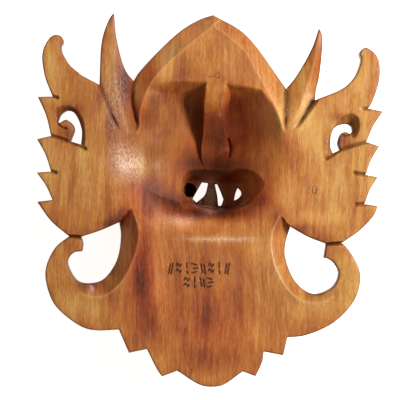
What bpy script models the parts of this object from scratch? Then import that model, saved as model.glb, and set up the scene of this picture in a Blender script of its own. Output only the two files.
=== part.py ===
"""A carved wooden garuda mask that lies on its face, with its hollowed back upwards.

The mask is one piece of wood. Its outline and openings are drawn on a plan: +Y points to the crown's tip
and +X to the wearer's right. Over that plan the back and the face are each carved as a depth below the
level back, and walls join the two along the outline and around the openings.
"""

import bpy
import numpy as np
from mathutils import Vector
from mathutils.geometry import delaunay_2d_cdt

# Overall sizes, in metres
MASK_HEIGHT = 0.300
MASK_DEPTH = 0.092

# Thickness of the wood below the level back
CROWN_THICKNESS = 0.033
PLATE_THICKNESS = 0.026
CURL_THICKNESS = 0.020
WING_TIP_THICKNESS = 0.014
HEAD_THICKNESS = 0.068
LEAST_WALL = 0.006

# Hollows and cuts of the back
HOLLOW_DEPTH = 0.037
MOUTH_DEPTH = 0.057
SHOULDER_DEPTH = 0.006
TONGUE_BACK_DEPTH = 0.071
LIP_SLOPE = 0.12
LIP_ROLL = 2.2
EDGE_EASE = 0.0016
EDGE_DROP = 0.0010
CROWN_BEVEL_SLOPE = 0.75
CURL_BEVEL_SLOPE = 0.95
CRESCENT_BEVEL_SLOPE = 1.2
HORN_SINK = 0.007
LEFT_HORN_ROOF, RIGHT_HORN_ROOF = 0.12, 0.35
HORN_GROOVE_DEPTH = 0.0045
HORN_GROOVE_WIDTH = 0.0050
NOTCH_CUT_DEPTH = 0.0030
NOTCH_CUT_WIDTH = 0.0040
HOOK_CUT_DEPTH = 0.0060
HOOK_CUT_WIDTH = 0.0032
RIB_SIDE_SLOPE = 9.0
RIB_FOOT_GAP = 0.0032

# Relief of the face
EYE_RADIUS = 0.0185
EYE_FLAT = 0.0035
EYELID_RELIEF = 0.0045
BROW_RELIEF = 0.009
BEAK_RELIEF = 0.024
BEAK_CLEARANCE = 0.003
NOSTRIL_RELIEF = 0.006
CHEEK_RELIEF = 0.009
MOUTH_RECESS = 0.068
FANG_RELIEF = 0.012
JAW_RELIEF = 0.024
DIADEM_RELIEF = 0.006
LEAF_RELIEF = 0.010
EDGE_ROUND = 0.0045
EDGE_ROUND_WIDTH = 0.008
ROUNDED_RINGS = 5
FEATHER_GROOVE_DEPTH = 0.0045
FEATHER_GROOVE_WIDTH = 0.0100
LOCK_GROOVE_DEPTH = 0.0070
LOCK_GROOVE_WIDTH = 0.0120

# How finely the carving is faceted, in metres
OUTLINE_TOLERANCE = 0.00030
OUTLINE_STEP = 0.0100
STROKE_STEP = 0.0005
CREASE_STEP = 0.0060
CREASE_CLEARANCE = 0.0008
RING_STEP = 0.0050
LEAST_RING = 8
COARSEST_CELL = 0.016
CELL_CORNERS = ((0, 0), (0, 1), (1, 0), (1, 1))
CELL_HALVINGS = 2
CELL_PROBES = 5
CELL_CLEARANCE = 0.0021
BACK_TOLERANCE = 0.0010
FACE_TOLERANCE = 0.0014
SAME_PLACE = 1e-7
MOST_PAIRS = 2_000_000
PLAN_DIGITS = 6

# Shares: how much of a cell's size or of the inset stays clear of the outline
CELL_MARGIN = 0.4
INSET_MARGIN = 0.9

# The plan is drawn in hundredths of the mask's height
SHARE = MASK_HEIGHT / 100

CROWN_TIP = (0.9, 49.4)
TOOTH_BULGE = 0.045

# Each side's outline runs from the crown's tip down to the chin. A stroke starts where the one before it
# ends, and is a smooth curve through its points. Teeth are pairs of a notch and the tip below it.
RIGHT_SIDE = {
    "crown": [[(9.3, 44.4), (20.5, 29.7)]],
    "horn": [[(23.2, 33.1), (27.6, 41.0), (29.3, 45.9)], [(30.1, 43.9), (29.3, 32.8), (28.5, 29.4),
                                                          (28.2, 26.6)]],
    "wing": [[(35.8, 29.9), (38.9, 33.1), (40.4, 37.6), (40.0, 38.9), (40.7, 40.2), (41.9, 40.5),
              (44.8, 37.9),
              (45.3, 32.5), (43.3, 26.0), (42.3, 24.3)]],
    "teeth": [(42.3, 24.3), (46.2, 23.5), (41.8, 15.4), (45.2, 14.2), (41.6, 6.6), (44.8, 6.0), (41.3, -1.2),
              (44.8, -1.7)],
    "wing_foot": [[(44.0, -3.9), (40.2, -8.1), (35.3, -11.6)]],
    "curl": [[(36.8, -13.1), (39.7, -18.1), (40.2, -21.2), (38.7, -26.7), (33.1, -32.8), (25.3, -36.3),
              (20.7, -36.8)]],
    "beard": [[(19.6, -41.6)], [(14.4, -40.6)], [(14.0, -43.3), (12.2, -47.2)], [(8.8, -45.9)]],
}
LEFT_SIDE = {
    "crown": [[(-2.6, 48.3), (-8.3, 44.9), (-19.2, 33.8), (-20.4, 31.8)]],
    "horn": [[(-21.9, 33.5), (-23.3, 36.2), (-25.2, 44.0), (-25.7, 50.0)],
             [(-26.7, 48.8), (-28.8, 43.2), (-29.6, 30.7)]],
    "wing": [[(-34.2, 33.1)], [(-37.9, 36.5), (-39.8, 40.6), (-39.2, 42.3), (-39.6, 43.5), (-41.0, 44.0),
             (-42.4, 43.5), (-44.6, 39.6), (-44.2, 33.5), (-42.0, 27.5)]],
    "teeth": [(-42.0, 27.5), (-45.9, 27.4), (-42.4, 17.0), (-46.1, 16.1), (-42.4, 7.5), (-46.2, 7.2),
              (-42.0, -0.1), (-46.1, -0.6)],
    "wing_foot": [[(-42.4, -5.7), (-37.6, -9.8)]],
    "curl": [[(-41.3, -12.9), (-43.9, -19.2), (-42.4, -26.3), (-40.0, -29.7), (-33.9, -34.1), (-30.4, -34.9),
              (-24.3, -34.7)]],
    "beard": [[(-21.6, -40.9)], [(-16.8, -39.9)], [(-14.1, -45.3), (-12.8, -47.2)], [(-8.7, -45.7)]],
}
CHIN = [(8.8, -45.9), (3.5, -49.5), (0.4, -50.0), (-2.6, -49.5), (-8.7, -45.7)]

# Openings that go right through, each a ring of strokes
OPENINGS = {
    "left_crescent": [[(-40.1, 20.4), (-40.7, 20.9)],
                      [(-40.7, 20.9), (-40.0, 22.6), (-38.3, 23.8), (-36.4, 23.3), (-34.3, 18.9),
                       (-34.4, 14.7)],
                      [(-34.4, 14.7), (-37.3, 15.6)],
                      [(-37.3, 15.6), (-36.3, 19.2), (-38.3, 21.3), (-40.1, 20.4)]],
    "right_crescent": [[(38.2, 18.2), (37.9, 19.5), (36.5, 20.3), (33.1, 18.9), (32.2, 14.4), (32.9, 12.4)],
                       [(32.9, 12.4), (34.8, 13.3)],
                       [(34.8, 13.3), (34.2, 15.1), (35.3, 17.8), (36.5, 18.0), (37.5, 17.6), (38.2, 18.2)]],
    "left_curl": [[(-24.3, -6.1), (-29.4, -8.3), (-34.5, -10.0)],
                  [(-34.5, -10.0), (-34.0, -11.7), (-34.2, -13.8)],
                  [(-34.2, -13.8), (-36.2, -14.1), (-37.6, -15.3), (-38.1, -17.1), (-35.9, -21.4),
                   (-33.9, -22.4),
                   (-29.1, -21.7), (-25.2, -16.8), (-23.9, -10.0), (-24.3, -6.1)]],
    "right_curl": [[(21.6, -7.3), (26.3, -10.0), (31.1, -11.9)],
                   [(31.1, -11.9), (30.5, -15.6)],
                   [(30.5, -15.6), (31.7, -15.9), (33.4, -17.3), (34.4, -19.5), (33.9, -21.9), (32.2, -23.9),
                    (27.6, -25.3), (22.9, -21.9), (20.2, -15.1), (20.3, -11.7), (21.6, -7.3)]],
    "mouth_left": [[(-2.1, 4.7), (-0.4, 4.5)],
                   [(-0.4, 4.5), (-1.3, 1.3), (-3.6, -0.8)],
                   [(-3.6, -0.8), (-4.7, 0.2)],
                   [(-4.7, 0.2), (-2.1, 4.7)]],
    "mouth_middle": [[(1.5, 4.2), (2.1, 4.2)],
                     [(2.1, 4.2), (3.0, 2.2), (3.8, 0.0)],
                     [(3.8, 0.0), (3.1, -1.7), (2.4, -1.7)],
                     [(2.4, -1.7), (2.1, 1.0), (1.5, 4.2)]],
    "mouth_right": [[(6.7, -0.3), (8.0, 0.4), (8.7, 1.6), (8.4, 2.5), (7.7, 3.2)],
                    [(7.7, 3.2), (7.1, 1.7), (6.7, -0.3)]],
}

# Ridge lines of the back, where a bevel starts, and points past the edge that the bevel runs out to
LEFT_CROWN_RIDGE = [(-19.4, 17.5), (-18.8, 19.1), (-18.5, 23.3), (-15.8, 30.8), (-9.0, 38.3), (0.9, 46.4),
                    (6.4, 50.9)]
LEFT_CROWN_BEYOND = [(0.0, 58.0), (-16.0, 54.0), (-20.6, 33.0), (-20.9, 29.7), (-20.2, 23.9), (-19.7, 17.2)]
RIGHT_CROWN_RIDGE = [(-4.0, 50.3), (0.9, 46.4), (5.3, 43.3), (9.3, 39.6), (12.1, 34.8), (17.5, 24.7),
                     (19.9, 18.5)]
RIGHT_CROWN_BEYOND = [(20.2, 18.3), (20.4, 22.5), (20.5, 26.5), (20.5, 29.7), (23.0, 33.0), (14.0, 50.0),
                      (2.0, 58.0)]
LEFT_CURL_RIDGE = [(-20.8, -2.0), (-18.9, -8.7), (-20.4, -16.1), (-24.3, -22.9), (-29.8, -26.1),
                   (-34.9, -25.0)]
LEFT_CURL_BEYOND = [(-36.5, -20.0), (-30.0, -14.0), (-26.0, -9.0), (-24.3, -6.1)]
RIGHT_CURL_RIDGE = [(18.8, -4.2), (16.6, -8.9), (16.8, -15.8), (20.2, -23.2), (24.6, -27.0), (30.4, -27.3),
                    (32.8, -26.0)]
RIGHT_CURL_BEYOND = [(32.0, -21.0), (26.0, -14.0), (22.8, -9.6), (21.6, -7.3)]
LEFT_CRESCENT_RIDGE = [(-41.0, 24.7), (-38.9, 25.2), (-36.2, 24.7), (-34.0, 22.0), (-33.1, 17.2),
                       (-33.3, 13.6)]
LEFT_CRESCENT_BEYOND = [(-34.4, 14.9), (-35.4, 19.0), (-37.5, 22.6), (-39.6, 22.0), (-40.9, 20.9)]
RIGHT_CRESCENT_RIDGE = [(31.1, 10.9), (31.4, 15.9), (32.8, 19.2), (34.8, 21.9), (37.5, 23.1), (39.5, 22.3),
                        (40.2, 19.9), (39.5, 17.2), (38.2, 15.9)]
RIGHT_CRESCENT_BEYOND = [(37.7, 18.4), (36.5, 19.2), (34.0, 18.0), (33.2, 15.0), (33.4, 12.8)]

# Horns: the field of each on the back, from its root out past its tip, and the line of its roof ridge
LEFT_HORN_ROOT = [(-29.6, 30.7), (-28.1, 27.3), (-26.1, 22.5), (-24.0, 18.3), (-22.1, 16.3), (-19.7, 17.2),
                  (-20.2, 23.9), (-20.9, 29.7), (-20.4, 31.8)]
LEFT_HORN_BEYOND = [(-21.0, 36.0), (-24.0, 53.0), (-29.0, 52.0), (-31.0, 42.0), (-30.6, 33.0)]
LEFT_HORN_RIDGE = [(-21.8, 18.0), (-24.6, 27.0), (-25.9, 38.0), (-25.8, 50.0)]
RIGHT_HORN_ROOT = [(20.5, 29.7), (20.5, 26.5), (20.4, 22.5), (20.2, 18.3), (21.0, 17.6), (23.5, 20.0),
                   (25.6, 23.1),
                   (28.2, 26.6)]
RIGHT_HORN_BEYOND = [(30.2, 31.0), (32.0, 44.0), (29.3, 49.0), (25.0, 42.0), (21.0, 32.0)]
RIGHT_HORN_RIDGE = [(21.8, 18.6), (24.6, 26.0), (28.0, 37.2), (29.3, 45.9)]
HORN_ROOT_Y, HORN_SUNK_Y = 17.0, 29.0

# Short cuts that run in from the notches, and the cuts between a curl's hook and the wing
NOTCH_CUTS = [
    [(41.0, 24.2), (42.3, 24.3)],
    [(38.5, 7.1), (41.6, 6.6)],
    [(39.0, -1.3), (41.3, -1.2)],
    [(41.8, 15.4), (37.9, 14.3), (34.7, 13.2), (31.1, 10.9)],
    [(-42.0, 27.5), (-40.8, 27.2)],
    [(-42.4, 7.5), (-41.2, 7.2)],
    [(-42.4, 17.0), (-39.2, 16.0), (-33.3, 13.6)],
]
HOOK_CUTS = [[(-37.6, -9.8), (-34.5, -10.0)], [(31.1, -11.9), (35.3, -11.6)]]

# The hollow's rim, one line for each side
HOLLOW_TOP = [(-17.1, 27.9), (-16.0, 30.3), (-13.0, 31.5), (-0.5, 31.6), (4.3, 31.2), (13.4, 29.7),
              (14.0, 29.4)]
HOLLOW_RIGHT = [(14.0, 29.4), (17.5, 24.7), (19.6, 19.0), (21.3, 13.2), (21.7, 6.5), (20.6, -0.1),
                (19.0, -3.7)]
HOLLOW_LIP = [(19.0, -3.7), (14.9, -9.2), (9.5, -10.4), (-5.3, -10.5), (-9.3, -9.7), (-15.4, -7.6),
              (-19.7, -3.3)]
HOLLOW_LEFT = [(-19.7, -3.3), (-21.4, 2.5), (-22.9, 8.0), (-23.0, 11.6), (-21.5, 15.0), (-19.7, 18.8),
               (-18.6, 22.5),
               (-17.1, 27.9)]
TOP_SLOPE, TOP_SLOPE_LEFT, TOP_ROUND = 2.2, 1.2, 0.002
TOP_SLOPE_X = (-13.0, -6.0)
LEFT_SLOPE, LEFT_ROUND, LEFT_ROUND_LOW = 0.9, 0.004, 0.022
LEFT_ROUND_Y = (13.0, 20.0)
RIGHT_SLOPE, RIGHT_ROUND = 1.4, 0.002
RIGHT_SLOPE_LOW, RIGHT_ROUND_LOW = 0.75, 0.026
RIGHT_ROUND_Y = (10.0, 20.0)
HOLLOW_BLEND = 5.0

# The level back slopes off towards the hollow's left rim
SHOULDER, SHOULDER_REACH = (-19.8, 9.6), (4.4, 5.6)

# The rib down the middle of the hollow: its plan, and its depth along its length
RIB = [(-0.9, 32.5), (-1.4, 26.5), (-1.8, 18.0), (-2.3, 14.0), (-2.2, 10.5), (-1.4, 8.4), (4.4, 8.2),
       (4.9, 11.5),
       (4.7, 15.0), (3.8, 18.5), (3.5, 22.5), (4.0, 28.0), (4.4, 32.5)]
RIB_PROFILE = [(6.5, 10.6), (9.0, 10.0), (11.5, 9.4), (14.5, 8.6), (17.5, 7.5), (20.5, 6.0), (23.5, 3.9),
               (26.0, 1.8),
               (28.5, 0.4), (31.2, 0.0)]

# The lip's inner edge, where it drops into the mouth
LIP_EDGE = [(-21.9, 4.4), (-20.2, 4.4), (-17.0, 3.0), (-13.3, 0.9), (-9.3, -0.5), (-5.3, -1.6),
            (-1.3, -2.8), (1.9, -3.4),
            (5.9, -3.0), (9.4, -1.7), (12.0, 0.3), (14.2, 2.8), (17.0, 4.6), (21.5, 5.2)]
# The mouth's cavity: its rim in the hollow, and the rim of its floor, which holds the openings
MOUTH_RIM = [(-7.6, -0.9), (-7.7, 2.5), (-7.4, 5.4), (-6.2, 7.5), (-3.6, 8.4), (0.5, 8.3), (4.3, 7.9),
             (8.0, 8.5), (11.0, 8.1),
             (13.4, 6.6), (14.6, 4.6), (14.2, 2.8), (12.0, 0.3), (9.4, -1.7), (5.9, -3.0), (1.9, -3.4),
             (-1.3, -2.8),
             (-5.3, -1.6), (-7.6, -0.9)]
MOUTH_FLOOR = [(-6.6, 0.2), (-7.1, 2.6), (-6.6, 4.4), (-4.8, 5.0), (-2.1, 5.0), (2.1, 4.6), (8.0, 3.9),
               (9.0, 1.6), (7.2, -0.9),
               (3.1, -2.2), (-3.8, -1.4), (-6.6, 0.2)]
# The tongue's back, and a blind hole beside the openings
TONGUE_BACK = [(-1.4, 4.6), (1.5, 4.4), (2.1, 1.0), (2.4, -1.9), (-3.9, -1.2), (-1.8, 1.6)]
BLIND_HOLE, BLIND_HOLE_REACH = (-5.5, 2.6), (1.9, 2.1)
BLIND_HOLE_RINGS = (0.8, 1.1)
PIT_STEEPNESS = 6.0
LEAST_DEPTH = 1e-5
CURL_FADE = 0.75

# The face, drawn from its own centre line: x counts outwards on both sides
FACE_X = 0.8
THINNING_X = (18, 28, 46)
CROWN_FACE_Y, CROWN_FACE_X = (20, 30), (19, 24)
HEAD_CENTRE_Y, HEAD_REACH = 11.0, (21.5, 33.0)
HEAD_RINGS = (1.0, 0.94)
EYE = (10.7, 18.0)
BROW, BROW_REACH = [(2.6, 22.5), (7.0, 26.5), (13.0, 27.8), (19.0, 23.5)], 3.0
BEAK_Y = (6.0, 9.0, 15.0, 20.0, 25.5)
BEAK_HALF_WIDTH = (2.2, 5.6, 6.0, 4.2, 1.6)
BEAK_RISE = (0.86, 0.97, 1.00, 0.86, 0.55)
NOSTRIL, NOSTRIL_REACH = (4.9, 9.6), 2.4
CHEEK, CHEEK_REACH = (13.8, 5.5), 6.0
LIP_RECESS_Y, LIP_RECESS_REACH, LIP_RECESS_TURN = 1.0, (10.5, 4.6), 0.3
FANG, FANG_REACH = [(6.2, 4.6), (5.6, -1.0)], 1.7
JAW_Y, JAW_REACH = -7.6, (12.0, 4.6)
TONGUE, TONGUE_REACH = [(0.6, 4.0), (0.6, -3.0), (0.6, -12.4)], 3.3
TONGUE_Y, TONGUE_FALL = (-13.5, -11.2, -8.4, -3.0, 4.0), (0.005, 0.0, 0.0, 0.008, 0.010)
DIADEM, DIADEM_REACH = [(0.0, 31.6), (9.0, 30.6), (18.0, 26.4)], 1.9
JEWEL, JEWEL_REACH = (0.0, 31.6), 2.9
LEAF_FOOT, LEAF_EDGE = 0.18, 0.4
LEAVES = [([(0.0, 34.0), (0.0, 47.5)], 5.6), ([(8.2, 32.6), (11.6, 39.6)], 3.6), ([(14.6, 29.6),
                                                                                   (18.0, 33.2)], 2.6)]
FEATHERS = [
    [(42.3, 24.3), (36.5, 23.9), (31.0, 20.5), (27.0, 14.0)],
    [(41.8, 15.4), (33.5, 10.4), (25.5, 8.5)],
    [(41.6, 6.6), (34.0, 3.6), (25.0, 4.0)],
    [(41.3, -1.2), (33.5, -2.4), (24.5, 0.0)],
    [(-42.0, 27.5), (-36.0, 26.6), (-30.0, 21.5), (-26.0, 14.0)],
    [(-42.4, 17.0), (-34.0, 11.6), (-24.5, 8.5)],
    [(-42.4, 7.5), (-34.0, 4.4), (-24.0, 4.0)],
    [(-42.0, -0.1), (-33.5, -2.0), (-23.5, 0.0)],
]
LOCKS = [
    [(8.8, -45.9), (5.4, -32.0), (5.0, -15.5)],
    [(14.4, -40.6), (10.5, -27.0), (10.0, -14.5)],
    [(20.7, -36.8), (14.6, -25.0), (14.6, -12.0)],
    [(-8.7, -45.7), (-4.6, -32.0), (-3.6, -15.5)],
    [(-16.8, -39.9), (-11.2, -27.0), (-8.8, -14.5)],
    [(-24.3, -34.7), (-16.0, -25.0), (-13.4, -12.0)],
]

WOOD_COLOUR = (0.47, 0.22, 0.075, 1.0)
WOOD_ROUGHNESS = 0.42


def smooth(points, step=CREASE_STEP):
    """A smooth curve through plan points, in metres, with a point about every step."""
    knots = np.array(points, float) * SHARE
    if len(knots) == 2:
        count = max(1, round(np.linalg.norm(knots[1] - knots[0]) / step))
        return knots[0] + np.linspace(0, 1, count + 1)[:, None] * (knots[1] - knots[0])
    ends = np.vstack([2 * knots[0] - knots[1], knots, 2 * knots[-1] - knots[-2]])
    pieces = []
    for before, start, end, after in zip(ends, ends[1:], ends[2:], ends[3:]):
        near = np.linalg.norm(start - before) ** 0.5
        span = np.linalg.norm(end - start) ** 0.5
        far = np.linalg.norm(after - end) ** 0.5
        leave = ((start - before) / near - (end - before) / (near + span) + (end - start) / span) * span
        arrive = ((end - start) / span - (after - start) / (span + far) + (after - end) / far) * span
        count = max(2, round(np.linalg.norm(end - start) / step))
        t = np.linspace(0, 1, count, endpoint=False)[:, None]
        pieces.append((2 * t**3 - 3 * t**2 + 1) * start + (t**3 - 2 * t**2 + t) * leave
                      + (3 * t**2 - 2 * t**3) * end + (t**3 - t**2) * arrive)
    return np.vstack(pieces + [knots[-1:]])


def bowed(start, end, bulge):
    """Three points of a shallow arc from start to end, bowed to the right by a share of its length."""
    run = np.subtract(end, start)
    middle = np.add(start, end) / 2 + bulge * np.array([run[1], -run[0]])
    return [start, tuple(middle), end]


def side_strokes(side, outwards):
    """The strokes of one side of the outline, from the crown's tip down."""
    strokes = []
    last = CROWN_TIP
    for part in ("crown", "horn", "wing"):
        for stroke in side[part]:
            strokes.append([last] + stroke)
            last = stroke[-1]
    teeth = side["teeth"]
    for notch, tip, following in zip(teeth[0::2], teeth[1::2], teeth[2::2]):
        strokes.append([notch, tip])
        strokes.append(bowed(tip, following, -outwards * TOOTH_BULGE))
    strokes.append([teeth[-2], teeth[-1]])
    last = teeth[-1]
    for part in ("wing_foot", "curl", "beard"):
        for stroke in side[part]:
            strokes.append([last] + stroke)
            last = stroke[-1]
    return strokes


def faceted(curve):
    """The points of a fine curve that keep it within the outline's tolerance."""
    kept = [0]
    while kept[-1] < len(curve) - 1:
        start = kept[-1]
        reach = start + 1
        while reach + 1 < len(curve):
            chord = curve[reach + 1] - curve[start]
            length = np.linalg.norm(chord)
            inner = curve[start + 1 : reach + 1] - curve[start]
            strayed = np.abs(chord[0] * inner[:, 1] - chord[1] * inner[:, 0]) / length
            if strayed.max() > OUTLINE_TOLERANCE or length > OUTLINE_STEP:
                break
            reach += 1
        kept.append(reach)
    return curve[kept]


def ring(strokes):
    """A closed ring of plan points from strokes that follow each other."""
    return np.vstack([faceted(smooth(stroke, STROKE_STEP))[:-1] for stroke in strokes])


def mask_rings():
    """The outline, counter-clockwise, then each opening, clockwise."""
    right = side_strokes(RIGHT_SIDE, -1)
    left = [stroke[::-1] for stroke in reversed(side_strokes(LEFT_SIDE, 1))]
    rings = [ring(right + [CHIN] + left)] + [ring(strokes) for strokes in OPENINGS.values()]
    turned = []
    for index, points in enumerate(rings):
        following = np.roll(points, -1, axis=0)
        area = (points[:, 0] * following[:, 1] - points[:, 1] * following[:, 0]).sum()
        wrong_way = area < 0 if index == 0 else area > 0
        turned.append(points[::-1] if wrong_way else points)
    return turned


def nearest(spots, line):
    """Each spot's distance to a line, and how far along the line that is, from 0 to 1."""
    span = np.diff(line, axis=0)
    length = np.hypot(*span.T)
    travelled = np.concatenate([[0], np.cumsum(length)]) / length.sum()
    gaps = []
    shares = []
    for some in np.array_split(spots, max(1, len(spots) * len(line) // MOST_PAIRS)):
        offset = some[:, None] - line[None, :-1]
        along = np.clip((offset * span).sum(axis=-1) / length**2, 0, 1)
        away = offset - along[..., None] * span
        gap = np.hypot(away[..., 0], away[..., 1])
        which = gap.argmin(axis=1)
        rows = np.arange(len(some))
        gaps.append(gap[rows, which])
        shares.append(travelled[which] + along[rows, which] * np.diff(travelled)[which])
    return np.concatenate(gaps), np.concatenate(shares)


def inside(spots, field):
    """Whether each spot lies within a closed field."""
    x, y = spots[:, :1], spots[:, 1:]
    x1, y1 = field.T
    x2, y2 = np.roll(field, -1, axis=0).T
    rise = np.where(y1 == y2, 1.0, y2 - y1)
    crossed = ((y1 > y) != (y2 > y)) & (x < x1 + (y - y1) * (x2 - x1) / rise)
    return crossed.sum(axis=1) % 2 == 1


def ramp(value, low, high):
    """A smooth step from 0 at low to 1 at high."""
    t = np.clip((value - low) / (high - low), 0, 1)
    return t * t * (3 - 2 * t)


def groove(spots, line, width, depth):
    """A V-shaped cut along a line."""
    return depth * np.clip(1 - nearest(spots, smooth(line))[0] / (width / 2), 0, 1)


def bevel(spots, ridge, beyond, slope, fade=None):
    """A sloping cut that starts at a ridge line. It can fade out from some share of the line on."""
    line = smooth(ridge)
    field = np.vstack([line, np.array(beyond) * SHARE])
    gap, share = nearest(spots, line)
    left = 1 if fade is None else 1 - ramp(share, fade, 1)
    return np.where(inside(spots, field), gap * slope * left, 0.0)


def horn(spots, root, beyond, ridge, slope):
    """A horn's cut: it sinks from its root on, and falls away from its ridge like a roof."""
    field = np.array(root + beyond) * SHARE
    sunk = ramp(spots[:, 1], HORN_ROOT_Y * SHARE, HORN_SUNK_Y * SHARE)
    roof = slope * nearest(spots, smooth(ridge))[0]
    cut = np.where(inside(spots, field), sunk * (HORN_SINK + roof), 0.0)
    sides = groove(spots, root, HORN_GROOVE_WIDTH, HORN_GROOVE_DEPTH)
    return np.maximum(cut, sides)


def ellipse(spots, centre, reach):
    """1 at the centre of an ellipse, 0 on its edge and below 0 outside it."""
    offset = (spots / SHARE - centre) / reach
    return 1 - np.hypot(*offset.T)


def hollow(spots):
    """The hollow that the wearer's face fits: sides that run down to a floor, and the lip below the mouth."""
    def side(gap, slope, turn):
        return slope * (np.hypot(gap, turn) - turn)

    low = 1 - ramp(spots[:, 1], RIGHT_ROUND_Y[0] * SHARE, RIGHT_ROUND_Y[1] * SHARE)
    right_turn = RIGHT_ROUND + (RIGHT_ROUND_LOW - RIGHT_ROUND) * low
    right_slope = RIGHT_SLOPE + (RIGHT_SLOPE_LOW - RIGHT_SLOPE) * low
    low = 1 - ramp(spots[:, 1], LEFT_ROUND_Y[0] * SHARE, LEFT_ROUND_Y[1] * SHARE)
    left_turn = LEFT_ROUND + (LEFT_ROUND_LOW - LEFT_ROUND) * low
    near_rib = ramp(spots[:, 0], TOP_SLOPE_X[0] * SHARE, TOP_SLOPE_X[1] * SHARE)
    top_slope = TOP_SLOPE_LEFT + (TOP_SLOPE - TOP_SLOPE_LEFT) * near_rib
    left_x, left_y = smooth(HOLLOW_LEFT).T
    walls = [
        side(nearest(spots, smooth(HOLLOW_TOP))[0], top_slope, TOP_ROUND),
        side(spots[:, 0] - np.interp(spots[:, 1], left_y, left_x), LEFT_SLOPE, left_turn),
        side(nearest(spots, smooth(HOLLOW_RIGHT))[0], right_slope, right_turn),
        np.full(len(spots), HOLLOW_DEPTH),
    ]
    blended = sum(np.maximum(wall, LEAST_DEPTH) ** -HOLLOW_BLEND for wall in walls) ** (-1 / HOLLOW_BLEND)
    depth = mouth(spots, blended)
    edge, rim = smooth(LIP_EDGE), smooth(HOLLOW_LIP)
    from_rim = nearest(spots, rim)[0]
    rolled = (from_rim / (from_rim + nearest(spots, edge)[0])) ** LIP_ROLL
    lip = rolled * depth + (1 - rolled) * np.minimum(depth, LIP_SLOPE * from_rim)
    return np.where(inside(spots, np.vstack([edge, rim])), lip, depth)


def mouth(spots, depth):
    """The hollow's depth with the cavity behind the lips, which falls from its rim to its floor."""
    rim, floor_rim = smooth(MOUTH_RIM), smooth(MOUTH_FLOOR)
    from_rim = nearest(spots, rim)[0]
    from_floor = np.where(inside(spots, floor_rim), 0, nearest(spots, floor_rim)[0])
    fallen = ramp(from_rim / (from_rim + from_floor), 0, 1)
    return np.where(inside(spots, rim), depth + (MOUTH_DEPTH - depth) * fallen, depth)


def rib_depth(spots):
    """How deep the rib's top and sides lie."""
    corners = np.array(RIB) * SHARE
    gap = nearest(spots, np.vstack([corners, corners[:1]]))[0]
    top = np.interp(spots[:, 1], *smooth(RIB_PROFILE).T)
    return top + RIB_SIDE_SLOPE * np.where(inside(spots, corners), 0, gap)


def shoulder(spots):
    """How far the level back slopes off at the hollow's left rim."""
    offset = (spots / SHARE - SHOULDER) / SHOULDER_REACH
    return SHOULDER_DEPTH * np.exp(-(offset**2).sum(axis=1))


def back_depth(spots):
    """How deep the back is carved below the level back."""
    sides = (HOLLOW_TOP, HOLLOW_RIGHT, HOLLOW_LIP, HOLLOW_LEFT)
    hollow_field = np.vstack([smooth(line)[:-1] for line in sides])
    carved = np.minimum(hollow(spots), rib_depth(spots))
    carved = np.where(inside(spots, np.array(TONGUE_BACK) * SHARE), TONGUE_BACK_DEPTH, carved)
    pit = MASK_DEPTH * np.clip(PIT_STEEPNESS * ellipse(spots, BLIND_HOLE, BLIND_HOLE_REACH), 0, 1)
    cuts = [
        np.where(inside(spots, hollow_field), carved, 0.0),
        pit,
        bevel(spots, LEFT_CROWN_RIDGE, LEFT_CROWN_BEYOND, CROWN_BEVEL_SLOPE),
        bevel(spots, RIGHT_CROWN_RIDGE, RIGHT_CROWN_BEYOND, CROWN_BEVEL_SLOPE),
        bevel(spots, LEFT_CURL_RIDGE, LEFT_CURL_BEYOND, CURL_BEVEL_SLOPE, CURL_FADE),
        bevel(spots, RIGHT_CURL_RIDGE, RIGHT_CURL_BEYOND, CURL_BEVEL_SLOPE, CURL_FADE),
        bevel(spots, LEFT_CRESCENT_RIDGE, LEFT_CRESCENT_BEYOND, CRESCENT_BEVEL_SLOPE),
        bevel(spots, RIGHT_CRESCENT_RIDGE, RIGHT_CRESCENT_BEYOND, CRESCENT_BEVEL_SLOPE),
        horn(spots, LEFT_HORN_ROOT, LEFT_HORN_BEYOND, LEFT_HORN_RIDGE, LEFT_HORN_ROOF),
        horn(spots, RIGHT_HORN_ROOT, RIGHT_HORN_BEYOND, RIGHT_HORN_RIDGE, RIGHT_HORN_ROOF),
    ]
    cuts += [groove(spots, line, NOTCH_CUT_WIDTH, NOTCH_CUT_DEPTH) for line in NOTCH_CUTS]
    cuts += [groove(spots, line, HOOK_CUT_WIDTH, HOOK_CUT_DEPTH) for line in HOOK_CUTS]
    return np.minimum(np.max(cuts, axis=0) + shoulder(spots), face_depth(spots) - LEAST_WALL)


def face_base(out, y):
    """The thickness that the face's features rise from."""
    base = np.interp(out, THINNING_X, (PLATE_THICKNESS, CURL_THICKNESS, WING_TIP_THICKNESS))
    crown = ramp(y, *CROWN_FACE_Y) * (1 - ramp(out, *CROWN_FACE_X))
    base = base + (CROWN_THICKNESS - PLATE_THICKNESS) * crown
    off_centre = (out / HEAD_REACH[0]) ** 2 + ((y - HEAD_CENTRE_Y) / HEAD_REACH[1]) ** 2
    head = PLATE_THICKNESS + (HEAD_THICKNESS - PLATE_THICKNESS) * np.sqrt(np.clip(1 - off_centre, 0, 1))
    return np.maximum(base, head)


def boss(spots, centre, reach):
    """A round rise, 1 at its centre and 0 past its reach."""
    offset = (spots / SHARE - centre) / reach
    return np.clip(1 - (offset**2).sum(axis=1), 0, 1)


def band(spots, line, reach):
    """A rounded rise along a line, 1 on it and 0 past its reach."""
    gap = nearest(spots, smooth(line))[0] / (reach * SHARE)
    return np.sqrt(np.clip(1 - gap**2, 0, 1))


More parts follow.
